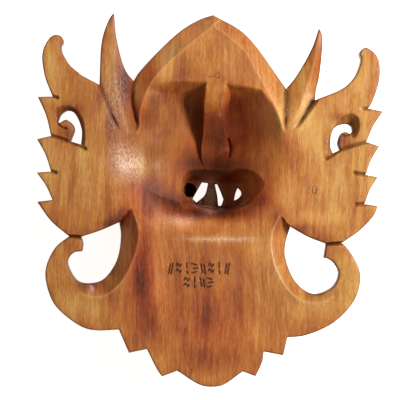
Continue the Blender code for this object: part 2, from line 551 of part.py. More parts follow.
def leaf(spots, line, reach):
    """A pointed leaf with a raised midrib along a line."""
    gap, share = nearest(spots, smooth(line))
    width = reach * SHARE * np.sqrt(np.clip(np.sin(np.pi * (LEAF_FOOT + (1 - LEAF_FOOT) * share)), 0, 1))
    inner = np.clip(1 - gap / np.maximum(width, LEAST_DEPTH), 0, 1)
    return np.where(inner > 0, LEAF_EDGE + (1 - LEAF_EDGE) * inner, 0.0)


def face_form(spots):
    """How far the face lies below the level back, before its grooves are cut."""
    folded = np.stack([np.abs(spots[:, 0] - FACE_X * SHARE), spots[:, 1]], axis=1)
    out, y = folded.T / SHARE
    depth = face_base(out, y)
    depth += CHEEK_RELIEF * boss(folded, CHEEK, CHEEK_REACH)
    depth += BROW_RELIEF * band(folded, BROW, BROW_REACH)
    depth += DIADEM_RELIEF * band(folded, DIADEM, DIADEM_REACH)
    depth += DIADEM_RELIEF * boss(folded, JEWEL, JEWEL_REACH)
    depth += LEAF_RELIEF * np.max([leaf(folded, line, reach) for line, reach in LEAVES], axis=0)
    from_mouth = np.hypot(out / LIP_RECESS_REACH[0], (y - LIP_RECESS_Y) / LIP_RECESS_REACH[1])
    depth += (MOUTH_RECESS - depth) * ramp(1 - from_mouth, 0, LIP_RECESS_TURN)
    jaw = np.hypot(out / JAW_REACH[0], (y - JAW_Y) / JAW_REACH[1])
    depth += JAW_RELIEF * np.sqrt(np.clip(1 - jaw**2, 0, 1))
    depth += FANG_RELIEF * band(folded, FANG, FANG_REACH)
    half_width = np.interp(y, BEAK_Y, BEAK_HALF_WIDTH)
    rise = BEAK_RELIEF * np.interp(y, BEAK_Y, BEAK_RISE, left=0, right=0)
    beak = HEAD_THICKNESS - BEAK_CLEARANCE + rise * np.sqrt(np.clip(1 - (out / half_width) ** 2, 0, 1))
    depth = np.where((out < half_width) & (rise > 0), np.maximum(depth, beak), depth)
    depth += NOSTRIL_RELIEF * boss(folded, NOSTRIL, NOSTRIL_REACH)
    tongue_gap = nearest(spots, smooth(TONGUE))[0] / (TONGUE_REACH * SHARE)
    tongue = MASK_DEPTH - np.interp(y, TONGUE_Y, TONGUE_FALL) - JAW_RELIEF * tongue_gap**4
    depth = np.where(tongue_gap < 1, np.maximum(depth, tongue), depth)
    eye_gap = np.hypot(*(folded - np.array(EYE) * SHARE).T)
    lid = EYELID_RELIEF * np.clip(1 - ((eye_gap - EYE_RADIUS) / EYELID_RELIEF) ** 2, 0, 1)
    past = EYE_RADIUS - (EYE_RADIUS**2 - EYE_FLAT**2) ** 0.5
    ball = MASK_DEPTH + past - EYE_RADIUS + np.sqrt(np.clip(EYE_RADIUS**2 - eye_gap**2, 0, 1))
    depth = np.where(eye_gap < EYE_RADIUS, np.maximum(depth, ball), depth + lid)
    return np.minimum(depth, MASK_DEPTH)


def face_depth(spots):
    """How far the face lies below the level back, with the grooves between feathers and locks."""
    cuts = [groove(spots, line, FEATHER_GROOVE_WIDTH, FEATHER_GROOVE_DEPTH) for line in FEATHERS]
    cuts += [groove(spots, line, LOCK_GROOVE_WIDTH, LOCK_GROOVE_DEPTH) for line in LOCKS]
    return face_form(spots) - np.max(cuts, axis=0)


def worth_keeping(spots, rings, least):
    """Spots on the wood that stay at least this far from the outline and the openings."""
    kept = np.ones(len(spots), bool)
    for index, points in enumerate(rings):
        kept &= inside(spots, points) == (index == 0)
        kept &= nearest(spots, np.vstack([points, points[:1]]))[0] > least
    return kept


def inset(rings, distance):
    """Points just inside the outline and around the openings."""
    found = []
    for points in rings:
        forward = np.roll(points, -1, axis=0) - points
        forward /= np.linalg.norm(forward, axis=1)[:, None]
        along = forward + np.roll(forward, 1, axis=0)
        along /= np.maximum(np.linalg.norm(along, axis=1), LEAST_DEPTH)[:, None]
        found.append(points + distance * np.stack([-along[:, 1], along[:, 0]], axis=1))
    spots = np.vstack(found)
    return spots[worth_keeping(spots, rings, INSET_MARGIN * distance)]


def cell_spots(surface, tolerance, rings):
    """Corners of square cells, halved wherever the surface bends by more than the tolerance."""
    low = rings[0].min(axis=0)
    counts = np.ceil((rings[0].max(axis=0) - low) / COARSEST_CELL).astype(int)
    corners = np.stack(np.meshgrid(*[np.arange(count) for count in counts]), axis=-1).reshape(-1, 2)
    cells = low + corners * COARSEST_CELL
    size = COARSEST_CELL
    probes = np.stack(np.meshgrid(*[np.linspace(0, 1, CELL_PROBES)] * 2), axis=-1).reshape(-1, 2)
    u, v = probes.T.reshape(2, CELL_PROBES, CELL_PROBES)
    found = []
    for halving in range(CELL_HALVINGS + 1):
        spots = cells[:, None] + probes * size
        on_mask = inside(spots.reshape(-1, 2), rings[0]).reshape(len(cells), -1).any(axis=1)
        cells = cells[on_mask]
        bent = np.zeros(len(cells), bool)
        if halving < CELL_HALVINGS:
            depth = surface(spots[on_mask].reshape(-1, 2)).reshape(-1, CELL_PROBES, CELL_PROBES)
            flat = (depth[:, :1, :1] * (1 - u) * (1 - v) + depth[:, :1, -1:] * u * (1 - v)
                    + depth[:, -1:, :1] * (1 - u) * v + depth[:, -1:, -1:] * u * v)
            bent = np.abs(depth - flat).max(axis=(1, 2)) > tolerance
        level = np.vstack([cells[~bent] + size * np.array(corner) for corner in CELL_CORNERS])
        found.append(level[worth_keeping(level, rings, CELL_MARGIN * size)])
        size /= 2
        cells = np.vstack([cells[bent] + size * np.array(corner) for corner in CELL_CORNERS])
    return np.unique(np.round(np.vstack(found), PLAN_DIGITS), axis=0)


def beside(line, distance):
    """A line moved sideways."""
    points = np.array(line)
    along = np.gradient(points, axis=0)
    along /= np.linalg.norm(along, axis=1)[:, None]
    return points + distance / SHARE * np.stack([-along[:, 1], along[:, 0]], axis=1)


def crease_spots(lines, marks, rings):
    """Points along crease lines, and single marks, so that the facets meet there."""
    spots = np.vstack([smooth(line) for line in lines] + [np.array(mark) * SHARE for mark in marks])
    return spots[worth_keeping(spots, rings, EDGE_EASE)]


def swollen(field, distance):
    """A closed field's corners, moved outwards."""
    corners = np.array(field)
    along = np.roll(corners, -1, axis=0) - np.roll(corners, 1, axis=0)
    along /= np.linalg.norm(along, axis=1)[:, None]
    outwards = np.stack([along[:, 1], -along[:, 0]], axis=1)
    return corners + distance / SHARE * outwards


def thinned(spots, others, least):
    """The spots that are at least this far from every one of the others."""
    far = np.ones(len(spots), bool)
    for some in np.array_split(others, max(1, len(spots) * len(others) // MOST_PAIRS)):
        gap = np.hypot(*(spots[:, None] - some[None]).transpose(2, 0, 1))
        far &= gap.min(axis=1, initial=np.inf) > least
    return spots[far]


def triangulated(rings, inner):
    """Triangles over the wood between the outline and the openings, counter-clockwise."""
    plan = np.vstack(rings + [inner])
    edges = []
    start = 0
    for points in rings:
        count = len(points)
        edges += [(start + i, start + (i + 1) % count) for i in range(count)]
        start += count
    spots, _, faces, origin, _, _ = delaunay_2d_cdt([Vector(p) for p in plan], edges, [], 0, SAME_PLACE)
    source = np.array([first[0] for first in origin])
    where = np.array([(p.x, p.y) for p in spots])
    triangles = np.array([tuple(face) for face in faces])
    centres = where[triangles].mean(axis=1)
    wood = inside(centres, rings[0])
    for points in rings[1:]:
        wood &= ~inside(centres, points)
    return source[triangles[wood]]


def carved_surface(rings, surface, tolerance, creases, marks):
    """(plan points past the rings, triangles) of one carved surface."""
    edge = inset(rings, EDGE_EASE)
    crease = thinned(crease_spots(creases, marks, rings), edge, CREASE_CLEARANCE)
    cells = cell_spots(surface, tolerance, rings)
    cells = thinned(cells, np.vstack([edge, crease]), CELL_CLEARANCE)
    inner = np.vstack([edge, crease, cells])
    return inner, triangulated(rings, inner)


def circle(centre, reach, share=1.0):
    """Points around an ellipse, or around some share of it, in hundredths of the mask's height."""
    reach = np.array(reach) * share
    count = max(LEAST_RING, round(2 * np.pi * reach.mean() * SHARE / RING_STEP))
    turn = np.linspace(0, 2 * np.pi, count, endpoint=False)
    return np.array(centre) + reach * np.stack([np.cos(turn), np.sin(turn)], axis=1)


def back_creases():
    """The lines that the back's facets follow."""
    return [
        LEFT_CROWN_RIDGE, RIGHT_CROWN_RIDGE, LEFT_CURL_RIDGE, RIGHT_CURL_RIDGE, LEFT_CRESCENT_RIDGE,
        RIGHT_CRESCENT_RIDGE, LEFT_HORN_ROOT, RIGHT_HORN_ROOT, LEFT_HORN_RIDGE, RIGHT_HORN_RIDGE, HOLLOW_TOP,
        HOLLOW_RIGHT, HOLLOW_LIP, LIP_EDGE, MOUTH_RIM, MOUTH_FLOOR, *NOTCH_CUTS, *HOOK_CUTS,
    ]


def back_marks():
    """Single points where the back's facets meet: the rib's top and foot, and the blind hole."""
    marks = [RIB, swollen(RIB[::-1], RIB_FOOT_GAP)]
    return marks + [circle(BLIND_HOLE, BLIND_HOLE_REACH, share) for share in BLIND_HOLE_RINGS]


def face_creases():
    """The lines that the face's facets follow: each groove's bottom and both its sides."""
    lines = [*FEATHERS, *LOCKS, TONGUE]
    for grooves, width in ((FEATHERS, FEATHER_GROOVE_WIDTH), (LOCKS, LOCK_GROOVE_WIDTH)):
        lines += [beside(line, side * width / 2) for line in grooves for side in (-1, 1)]
    return lines


def face_marks():
    """Single points where the face's facets meet: the eyes, the head, the jaw, the mouth and the beak."""
    eyes = [(FACE_X + side * EYE[0], EYE[1]) for side in (-1, 1)]
    radii = (EYE_FLAT / SHARE, EYE_RADIUS / SHARE)
    marks = [eyes, *[circle(eye, (radius, radius)) for eye in eyes for radius in radii]]
    marks += [circle((FACE_X, HEAD_CENTRE_Y), HEAD_REACH, share) for share in HEAD_RINGS]
    marks += [circle((FACE_X, JAW_Y), JAW_REACH), circle((FACE_X, LIP_RECESS_Y), LIP_RECESS_REACH)]
    for side in (-1, 0, 1):
        marks.append([(FACE_X + side * width, y) for y, width in zip(BEAK_Y, BEAK_HALF_WIDTH)])
    return marks


def edge_drop(count_on_rings, count):
    """The outline's own points lie a little lower than the surface, which eases the edge."""
    drop = np.zeros(count)
    drop[:count_on_rings] = EDGE_DROP
    return drop


def mask_mesh():
    """The mask's points and faces: the back, the face, and the walls between them."""
    rings = mask_rings()
    outline = np.vstack(rings)
    on_rings = len(outline)
    form = rounded(face_form, rings)
    back_inner, back_faces = carved_surface(rings, back_depth, BACK_TOLERANCE, back_creases(), back_marks())
    face_inner, face_faces = carved_surface(rings, form, FACE_TOLERANCE, face_creases(), face_marks())
    back_plan = np.vstack([outline, back_inner])
    face_plan = np.vstack([outline, face_inner])
    back = back_depth(back_plan) + edge_drop(on_rings, len(back_plan))
    face = rounded(face_depth, rings)(face_plan) - edge_drop(on_rings, len(face_plan))
    points = np.vstack([np.column_stack([back_plan, MASK_DEPTH - back]),
                        np.column_stack([face_plan, MASK_DEPTH - face])])
    below = len(back_plan)
    faces = [tuple(face) for face in back_faces]
    faces += [tuple(face + below)[::-1] for face in face_faces]
    start = 0
    for ring_points in rings:
        count = len(ring_points)
        for i in range(count):
            here = start + i
            following = start + (i + 1) % count
            faces.append((here + below, following + below, following))
            faces.append((here + below, following, here))
        start += count
    return points, faces


def rounded(surface, rings):
    """A face surface with its edges rounded over along the outline and the larger openings."""
    lines = [np.vstack([points, points[:1]]) for points in rings[:ROUNDED_RINGS]]

    def depth(spots):
        gap = np.min([nearest(spots, line)[0] for line in lines], axis=0)
        return surface(spots) - EDGE_ROUND * np.clip(1 - gap / EDGE_ROUND_WIDTH, 0, 1) ** 2

    return depth


def wood():
    """A plain brown wood."""
    material = bpy.data.materials.new("carved wood")
    material.use_nodes = True
    shader = material.node_tree.nodes["Principled BSDF"]
    shader.inputs["Base Color"].default_value = WOOD_COLOUR
    shader.inputs["Roughness"].default_value = WOOD_ROUGHNESS
    shader.inputs["Metallic"].default_value = 0.0
    return material


def main():
    for old in list(bpy.data.objects):
        bpy.data.objects.remove(old, do_unlink=True)
    points, faces = mask_mesh()
    mesh = bpy.data.meshes.new("mask")
    mesh.from_pydata(points.tolist(), [], [[int(corner) for corner in face] for face in faces])
    mesh.materials.append(wood())
    mask = bpy.data.objects.new("mask", mesh)
    bpy.context.collection.objects.link(mask)


main()
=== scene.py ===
"""Looks of the carved garuda mask: its finely carved wood, the pale floor, the light and the camera.

The carved piece keeps the form of the CAD solid that it replaces. It repeats the solid's plan and depths,
and adds the finer relief: eased edges, tool marks, cuts, veins and hair, and the marks on the back.
"""

import bpy
import numpy as np
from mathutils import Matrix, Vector
from mathutils.geometry import delaunay_2d_cdt
from mathutils.kdtree import KDTree

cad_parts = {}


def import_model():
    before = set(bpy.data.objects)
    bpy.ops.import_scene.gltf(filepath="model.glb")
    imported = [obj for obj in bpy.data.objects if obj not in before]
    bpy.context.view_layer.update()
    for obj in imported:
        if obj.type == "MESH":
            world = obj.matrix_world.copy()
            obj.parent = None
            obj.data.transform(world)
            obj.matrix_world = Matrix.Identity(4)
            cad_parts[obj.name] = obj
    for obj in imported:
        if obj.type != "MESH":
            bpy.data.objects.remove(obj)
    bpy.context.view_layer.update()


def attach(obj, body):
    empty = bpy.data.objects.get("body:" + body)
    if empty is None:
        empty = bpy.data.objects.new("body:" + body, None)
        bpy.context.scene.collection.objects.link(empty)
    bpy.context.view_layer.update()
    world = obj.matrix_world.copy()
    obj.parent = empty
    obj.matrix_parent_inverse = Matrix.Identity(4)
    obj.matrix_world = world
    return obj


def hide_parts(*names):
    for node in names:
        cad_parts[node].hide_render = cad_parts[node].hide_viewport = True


# Overall sizes, in metres
MASK_HEIGHT = 0.300
MASK_DEPTH = 0.092

# Thickness of the wood below the level back. It falls off to the wings' tips over the distances from the
# middle in THICKNESS_X, and the crown's is reached past CROWN_Y and short of CROWN_X, in plan units.
CROWN_THICKNESS = 0.033
PLATE_THICKNESS = 0.026
CURL_THICKNESS = 0.020
WING_TIP_THICKNESS = 0.014
HEAD_THICKNESS = 0.068
LEAST_WALL = 0.006
THICKNESS_X = (18.0, 28.0, 46.0)
CROWN_Y, CROWN_X = (20.0, 30.0), (19.0, 24.0)

# Hollows and cuts of the back
HOLLOW_DEPTH = 0.037
MOUTH_DEPTH = 0.057
SHOULDER_DEPTH = 0.006
TONGUE_BACK_DEPTH = 0.071
LIP_SLOPE = 0.12
LIP_ROLL = 2.2
CROWN_BEVEL_SLOPE = 0.75
CURL_BEVEL_SLOPE = 0.95
CRESCENT_BEVEL_SLOPE = 1.2
HORN_SINK = 0.007
LEFT_HORN_ROOF, RIGHT_HORN_ROOF = 0.12, 0.35
HORN_GROOVE_DEPTH = 0.0045
HORN_GROOVE_WIDTH = 0.0050
NOTCH_CUT_DEPTH = 0.0030
NOTCH_CUT_WIDTH = 0.0040
HOOK_CUT_DEPTH = 0.0060
HOOK_CUT_WIDTH = 0.0032
RIB_SIDE_SLOPE = 9.0

# Relief of the face
EYE_RADIUS = 0.0185
EYE_FLAT = 0.0035
EYELID_RELIEF = 0.0045
BROW_RELIEF = 0.009
BEAK_RELIEF = 0.024
BEAK_CLEARANCE = 0.003
NOSTRIL_RELIEF = 0.006
CHEEK_RELIEF = 0.009
MOUTH_RECESS = 0.068
FANG_RELIEF = 0.012
JAW_RELIEF = 0.024
DIADEM_RELIEF = 0.006
LEAF_RELIEF = 0.010
FEATHER_GROOVE_DEPTH = 0.0045
FEATHER_GROOVE_WIDTH = 0.0100
LOCK_GROOVE_DEPTH = 0.0070
LOCK_GROOVE_WIDTH = 0.0120

# How finely the carving is modelled
OUTLINE_TOLERANCE = 0.00003
OUTLINE_STEP = 0.0013
LINE_STEP = 0.0030
CREASE_STEP = 0.0010
CREASE_GRID = 0.0004
LIP_EDGE_BESIDE = 0.0006
COARSEST_CELL = 0.0032
CELL_CORNERS = ((0, 0), (0, 1), (1, 0), (1, 1))
CELL_HALVINGS = 2
SURFACE_TOLERANCE = 0.00006
BACK_EASE = 0.0015
FACE_EASE = 0.0038
EASE_STEPS = 4
WALL_ROWS = 4
SMOOTH_ANGLE = 0.60

# Clearances between the points of the mesh, as shares of a cell, an ease or an inset
CELL_INSET, CELL_CLEARANCE, CREASE_INSET = 0.3, 0.4, 0.15
WIDEST_MITRE, LEAST_INSET = 0.25, 0.93

# Guards against rounding, in metres, and the share of a line's length that is just past its end
SAME_LENGTH, SAME_PLACE, LEAST_WIDTH, LEAST_SIDE = 1e-9, 1e-7, 1e-6, 1e-5
PLAN_DECIMALS = 6
PAST_THE_END = 1.001

# The plan is drawn in hundredths of the mask's height, its plan units
SHARE = MASK_HEIGHT / 100

CROWN_TIP = (0.9, 49.4)
TOOTH_BULGE = 0.045

# Each side's outline runs from the crown's tip down to the chin. A stroke starts where the one before it
# ends, and is a smooth curve through its points. Teeth are pairs of a notch and the tip below it.
RIGHT_SIDE = {
    "crown": [[(9.3, 44.4), (20.5, 29.7)]],
    "horn": [[(23.2, 33.1), (27.6, 41.0), (29.3, 45.9)],
             [(30.1, 43.9), (29.3, 32.8), (28.5, 29.4), (28.2, 26.6)]],
    "wing": [[(35.8, 29.9), (38.9, 33.1), (40.4, 37.6), (40.0, 38.9), (40.7, 40.2), (41.9, 40.5),
              (44.8, 37.9), (45.3, 32.5), (43.3, 26.0), (42.3, 24.3)]],
    "teeth": [(42.3, 24.3), (46.2, 23.5), (41.8, 15.4), (45.2, 14.2), (41.6, 6.6), (44.8, 6.0), (41.3, -1.2),
              (44.8, -1.7)],
    "wing_foot": [[(44.0, -3.9), (40.2, -8.1), (35.3, -11.6)]],
    "curl": [[(36.8, -13.1), (39.7, -18.1), (40.2, -21.2), (38.7, -26.7), (33.1, -32.8), (25.3, -36.3),
              (20.7, -36.8)]],
    "beard": [[(19.6, -41.6)], [(14.4, -40.6)], [(14.0, -43.3), (12.2, -47.2)], [(8.8, -45.9)]],
}
LEFT_SIDE = {
    "crown": [[(-2.6, 48.3), (-8.3, 44.9), (-19.2, 33.8), (-20.4, 31.8)]],
    "horn": [[(-21.9, 33.5), (-23.3, 36.2), (-25.2, 44.0), (-25.7, 50.0)],
             [(-26.7, 48.8), (-28.8, 43.2), (-29.6, 30.7)]],
    "wing": [[(-34.2, 33.1)], [(-37.9, 36.5), (-39.8, 40.6), (-39.2, 42.3), (-39.6, 43.5), (-41.0, 44.0),
             (-42.4, 43.5), (-44.6, 39.6), (-44.2, 33.5), (-42.0, 27.5)]],
    "teeth": [(-42.0, 27.5), (-45.9, 27.4), (-42.4, 17.0), (-46.1, 16.1), (-42.4, 7.5), (-46.2, 7.2),
              (-42.0, -0.1), (-46.1, -0.6)],
    "wing_foot": [[(-42.4, -5.7), (-37.6, -9.8)]],
    "curl": [[(-41.3, -12.9), (-43.9, -19.2), (-42.4, -26.3), (-40.0, -29.7), (-33.9, -34.1), (-30.4, -34.9),
              (-24.3, -34.7)]],
    "beard": [[(-21.6, -40.9)], [(-16.8, -39.9)], [(-14.1, -45.3), (-12.8, -47.2)], [(-8.7, -45.7)]],
}
CHIN = [(8.8, -45.9), (3.5, -49.5), (0.4, -50.0), (-2.6, -49.5), (-8.7, -45.7)]

# Openings that go right through, each a ring of strokes
OPENINGS = {
    "left_crescent": [[(-40.1, 20.4), (-40.7, 20.9)],
                      [(-40.7, 20.9), (-40.0, 22.6), (-38.3, 23.8), (-36.4, 23.3), (-34.3, 18.9),
                       (-34.4, 14.7)],
                      [(-34.4, 14.7), (-37.3, 15.6)],
                      [(-37.3, 15.6), (-36.3, 19.2), (-38.3, 21.3), (-40.1, 20.4)]],
    "right_crescent": [[(38.2, 18.2), (37.9, 19.5), (36.5, 20.3), (33.1, 18.9), (32.2, 14.4), (32.9, 12.4)],
                       [(32.9, 12.4), (34.8, 13.3)],
                       [(34.8, 13.3), (34.2, 15.1), (35.3, 17.8), (36.5, 18.0), (37.5, 17.6), (38.2, 18.2)]],
    "left_curl": [[(-24.3, -6.1), (-29.4, -8.3), (-34.5, -10.0)],
                  [(-34.5, -10.0), (-34.0, -11.7), (-34.2, -13.8)],
                  [(-34.2, -13.8), (-36.2, -14.1), (-37.6, -15.3), (-38.1, -17.1), (-35.9, -21.4),
                   (-33.9, -22.4), (-29.1, -21.7), (-25.2, -16.8), (-23.9, -10.0), (-24.3, -6.1)]],
    "right_curl": [[(21.6, -7.3), (26.3, -10.0), (31.1, -11.9)],
                   [(31.1, -11.9), (30.5, -15.6)],
                   [(30.5, -15.6), (31.7, -15.9), (33.4, -17.3), (34.4, -19.5), (33.9, -21.9), (32.2, -23.9),
                    (27.6, -25.3), (22.9, -21.9), (20.2, -15.1), (20.3, -11.7), (21.6, -7.3)]],
    "mouth_left": [[(-2.1, 4.7), (-0.4, 4.5)],
                   [(-0.4, 4.5), (-1.3, 1.3), (-3.6, -0.8)],
                   [(-3.6, -0.8), (-4.7, 0.2)],
                   [(-4.7, 0.2), (-2.1, 4.7)]],
    "mouth_middle": [[(1.5, 4.2), (2.1, 4.2)],
                     [(2.1, 4.2), (3.0, 2.2), (3.8, 0.0)],
                     [(3.8, 0.0), (3.1, -1.7), (2.4, -1.7)],
                     [(2.4, -1.7), (2.1, 1.0), (1.5, 4.2)]],
    "mouth_right": [[(6.7, -0.3), (8.0, 0.4), (8.7, 1.6), (8.4, 2.5), (7.7, 3.2)],
                    [(7.7, 3.2), (7.1, 1.7), (6.7, -0.3)]],
}

# Ridge lines of the back, where a bevel starts, and points past the edge that the bevel runs out to
LEFT_CURL_RIDGE = [(-20.8, -2.0), (-18.9, -8.7), (-20.4, -16.1), (-24.3, -22.9), (-29.8, -26.1),
                   (-34.9, -25.0)]
LEFT_CURL_BEYOND = [(-36.5, -20.0), (-30.0, -14.0), (-26.0, -9.0), (-24.3, -6.1)]
RIGHT_CURL_RIDGE = [(18.8, -4.2), (16.6, -8.9), (16.8, -15.8), (20.2, -23.2), (24.6, -27.0), (30.4, -27.3),
                    (32.8, -26.0)]
RIGHT_CURL_BEYOND = [(32.0, -21.0), (26.0, -14.0), (22.8, -9.6), (21.6, -7.3)]
LEFT_CRESCENT_RIDGE = [(-41.0, 24.7), (-38.9, 25.2), (-36.2, 24.7), (-34.0, 22.0), (-33.1, 17.2),
                       (-33.3, 13.6)]
LEFT_CRESCENT_BEYOND = [(-34.4, 14.9), (-35.4, 19.0), (-37.5, 22.6), (-39.6, 22.0), (-40.9, 20.9)]
RIGHT_CRESCENT_RIDGE = [(31.1, 10.9), (31.4, 15.9), (32.8, 19.2), (34.8, 21.9), (37.5, 23.1), (39.5, 22.3),
                        (40.2, 19.9), (39.5, 17.2), (38.2, 15.9)]
RIGHT_CRESCENT_BEYOND = [(37.7, 18.4), (36.5, 19.2), (34.0, 18.0), (33.2, 15.0), (33.4, 12.8)]

# Horns: the field of each on the back, from its root out past its tip, and the line of its roof ridge
LEFT_HORN_ROOT = [(-29.6, 30.7), (-28.1, 27.3), (-26.1, 22.5), (-24.0, 18.3), (-22.1, 16.3), (-19.7, 17.2),
                  (-20.2, 23.9), (-20.9, 29.7), (-20.4, 31.8)]
LEFT_HORN_BEYOND = [(-21.0, 36.0), (-24.0, 53.0), (-29.0, 52.0), (-31.0, 42.0), (-30.6, 33.0)]
LEFT_HORN_RIDGE = [(-21.8, 18.0), (-24.6, 27.0), (-25.9, 38.0), (-25.8, 50.0)]
RIGHT_HORN_ROOT = [(20.5, 29.7), (20.5, 26.5), (20.4, 22.5), (20.2, 18.3), (21.0, 17.6), (23.5, 20.0),
                   (25.6, 23.1), (28.2, 26.6)]
RIGHT_HORN_BEYOND = [(30.2, 31.0), (32.0, 44.0), (29.3, 49.0), (25.0, 42.0), (21.0, 32.0)]
RIGHT_HORN_RIDGE = [(21.8, 18.6), (24.6, 26.0), (28.0, 37.2), (29.3, 45.9)]
HORN_ROOT_Y, HORN_SUNK_Y = 17.0, 29.0

# Short cuts that run in from the notches, and the cuts between a curl's hook and the wing
NOTCH_CUTS = [
    [(41.0, 24.2), (42.3, 24.3)],
    [(38.5, 7.1), (41.6, 6.6)],
    [(39.0, -1.3), (41.3, -1.2)],
    [(41.8, 15.4), (37.9, 14.3), (34.7, 13.2), (31.1, 10.9)],
    [(-42.0, 27.5), (-40.8, 27.2)],
    [(-42.4, 7.5), (-41.2, 7.2)],
    [(-42.4, 17.0), (-39.2, 16.0), (-33.3, 13.6)],
]
HOOK_CUTS = [[(-37.6, -9.8), (-34.5, -10.0)], [(31.1, -11.9), (35.3, -11.6)]]

# The hollow's rim, one line for each side
HOLLOW_TOP = [(-17.1, 27.9), (-16.0, 30.3), (-13.0, 31.5), (-0.5, 31.6), (4.3, 31.2), (13.4, 29.7),
              (14.0, 29.4)]
HOLLOW_RIGHT = [(14.0, 29.4), (17.5, 24.7), (19.6, 19.0), (21.3, 13.2), (21.7, 6.5), (20.6, -0.1),
                (19.0, -3.7)]
HOLLOW_LIP = [(19.0, -3.7), (14.9, -9.2), (9.5, -10.4), (-5.3, -10.5), (-9.3, -9.7), (-15.4, -7.6),
              (-19.7, -3.3)]
HOLLOW_LEFT = [(-19.7, -3.3), (-21.4, 2.5), (-22.9, 8.0), (-23.0, 11.6), (-21.5, 15.0), (-19.7, 18.8),
               (-18.6, 22.5), (-17.1, 27.9)]

# How steeply each side of the hollow runs down, and how softly it turns in from the rim
TOP_SLOPE, TOP_SLOPE_LEFT, TOP_ROUND = 2.2, 1.2, 0.002
TOP_SLOPE_X = (-13.0, -6.0)
LEFT_SLOPE, LEFT_ROUND, LEFT_ROUND_LOW = 0.9, 0.004, 0.022
LEFT_ROUND_Y = (13.0, 20.0)
RIGHT_SLOPE, RIGHT_ROUND = 1.4, 0.002
RIGHT_SLOPE_LOW, RIGHT_ROUND_LOW = 0.75, 0.026
RIGHT_ROUND_Y = (10.0, 20.0)
HOLLOW_BLEND = 5.0

# The level back slopes off towards the hollow's left rim
SHOULDER, SHOULDER_REACH = (-19.8, 9.6), (4.4, 5.6)

# The rib down the middle of the hollow: its plan, and its depth along its length
RIB = [(-0.9, 32.5), (-1.4, 26.5), (-1.8, 18.0), (-2.3, 14.0), (-2.2, 10.5), (-1.4, 8.4), (4.4, 8.2),
       (4.9, 11.5), (4.7, 15.0), (3.8, 18.5), (3.5, 22.5), (4.0, 28.0), (4.4, 32.5)]
RIB_PROFILE = [(6.5, 10.6), (9.0, 10.0), (11.5, 9.4), (14.5, 8.6), (17.5, 7.5), (20.5, 6.0), (23.5, 3.9),
               (26.0, 1.8), (28.5, 0.4), (31.2, 0.0)]

# The lip's inner edge, where it drops into the mouth
LIP_EDGE = [(-21.9, 4.4), (-20.2, 4.4), (-17.0, 3.0), (-13.3, 0.9), (-9.3, -0.5), (-5.3, -1.6),
            (-1.3, -2.8), (1.9, -3.4), (5.9, -3.0), (9.4, -1.7), (12.0, 0.3), (14.2, 2.8), (17.0, 4.6),
            (21.5, 5.2)]
# The mouth's cavity: its rim in the hollow, and the rim of its floor, which holds the openings
MOUTH_RIM = [(-7.6, -0.9), (-7.7, 2.5), (-7.4, 5.4), (-6.2, 7.5), (-3.6, 8.4), (0.5, 8.3), (4.3, 7.9),
             (8.0, 8.5), (11.0, 8.1), (13.4, 6.6), (14.6, 4.6), (14.2, 2.8), (12.0, 0.3), (9.4, -1.7),
             (5.9, -3.0), (1.9, -3.4), (-1.3, -2.8), (-5.3, -1.6), (-7.6, -0.9)]
MOUTH_FLOOR = [(-6.6, 0.2), (-7.1, 2.6), (-6.6, 4.4), (-4.8, 5.0), (-2.1, 5.0), (2.1, 4.6), (8.0, 3.9),
               (9.0, 1.6), (7.2, -0.9), (3.1, -2.2), (-3.8, -1.4), (-6.6, 0.2)]
# The tongue's back, and a blind hole beside the openings
TONGUE_BACK = [(-1.4, 4.6), (1.5, 4.4), (2.1, 1.0), (2.4, -1.9), (-3.9, -1.2), (-1.8, 1.6)]
BLIND_HOLE, BLIND_HOLE_REACH = (-5.5, 2.6), (1.9, 2.1)
PIT_STEEPNESS = 6.0

# The face, drawn from its own centre line: x counts outwards on both sides
FACE_X = 0.8
HEAD_CENTRE_Y, HEAD_REACH = 11.0, (21.5, 33.0)
EYE = (10.7, 18.0)
BROW, BROW_REACH = [(2.6, 22.5), (7.0, 26.5), (13.0, 27.8), (19.0, 23.5)], 3.0
BEAK_Y = (6.0, 9.0, 15.0, 20.0, 25.5)
BEAK_HALF_WIDTH = (2.2, 5.6, 6.0, 4.2, 1.6)
BEAK_RISE = (0.86, 0.97, 1.00, 0.86, 0.55)
NOSTRIL, NOSTRIL_REACH = (4.9, 9.6), 2.4
CHEEK, CHEEK_REACH = (13.8, 5.5), 6.0
LIP_RECESS_Y, LIP_RECESS_REACH, LIP_RECESS_EDGE = 1.0, (10.5, 4.6), 0.3
FANG, FANG_REACH = [(6.2, 4.6), (5.6, -1.0)], 1.7
JAW_Y, JAW_REACH = -7.6, (12.0, 4.6)
TONGUE, TONGUE_REACH = [(0.6, 4.0), (0.6, -3.0), (0.6, -12.4)], 3.3
TONGUE_Y, TONGUE_FALL = (-13.5, -11.2, -8.4, -3.0, 4.0), (0.005, 0.0, 0.0, 0.008, 0.010)
DIADEM, DIADEM_REACH = [(0.0, 31.6), (9.0, 30.6), (18.0, 26.4)], 1.9
JEWEL, JEWEL_REACH = (0.0, 31.6), 2.9
LEAVES = [
    ([(0.0, 34.0), (0.0, 47.5)], 5.6),
    ([(8.2, 32.6), (11.6, 39.6)], 3.6),
    ([(14.6, 29.6), (18.0, 33.2)], 2.6),
]
LEAF_START, LEAF_RIM = 0.18, 0.4
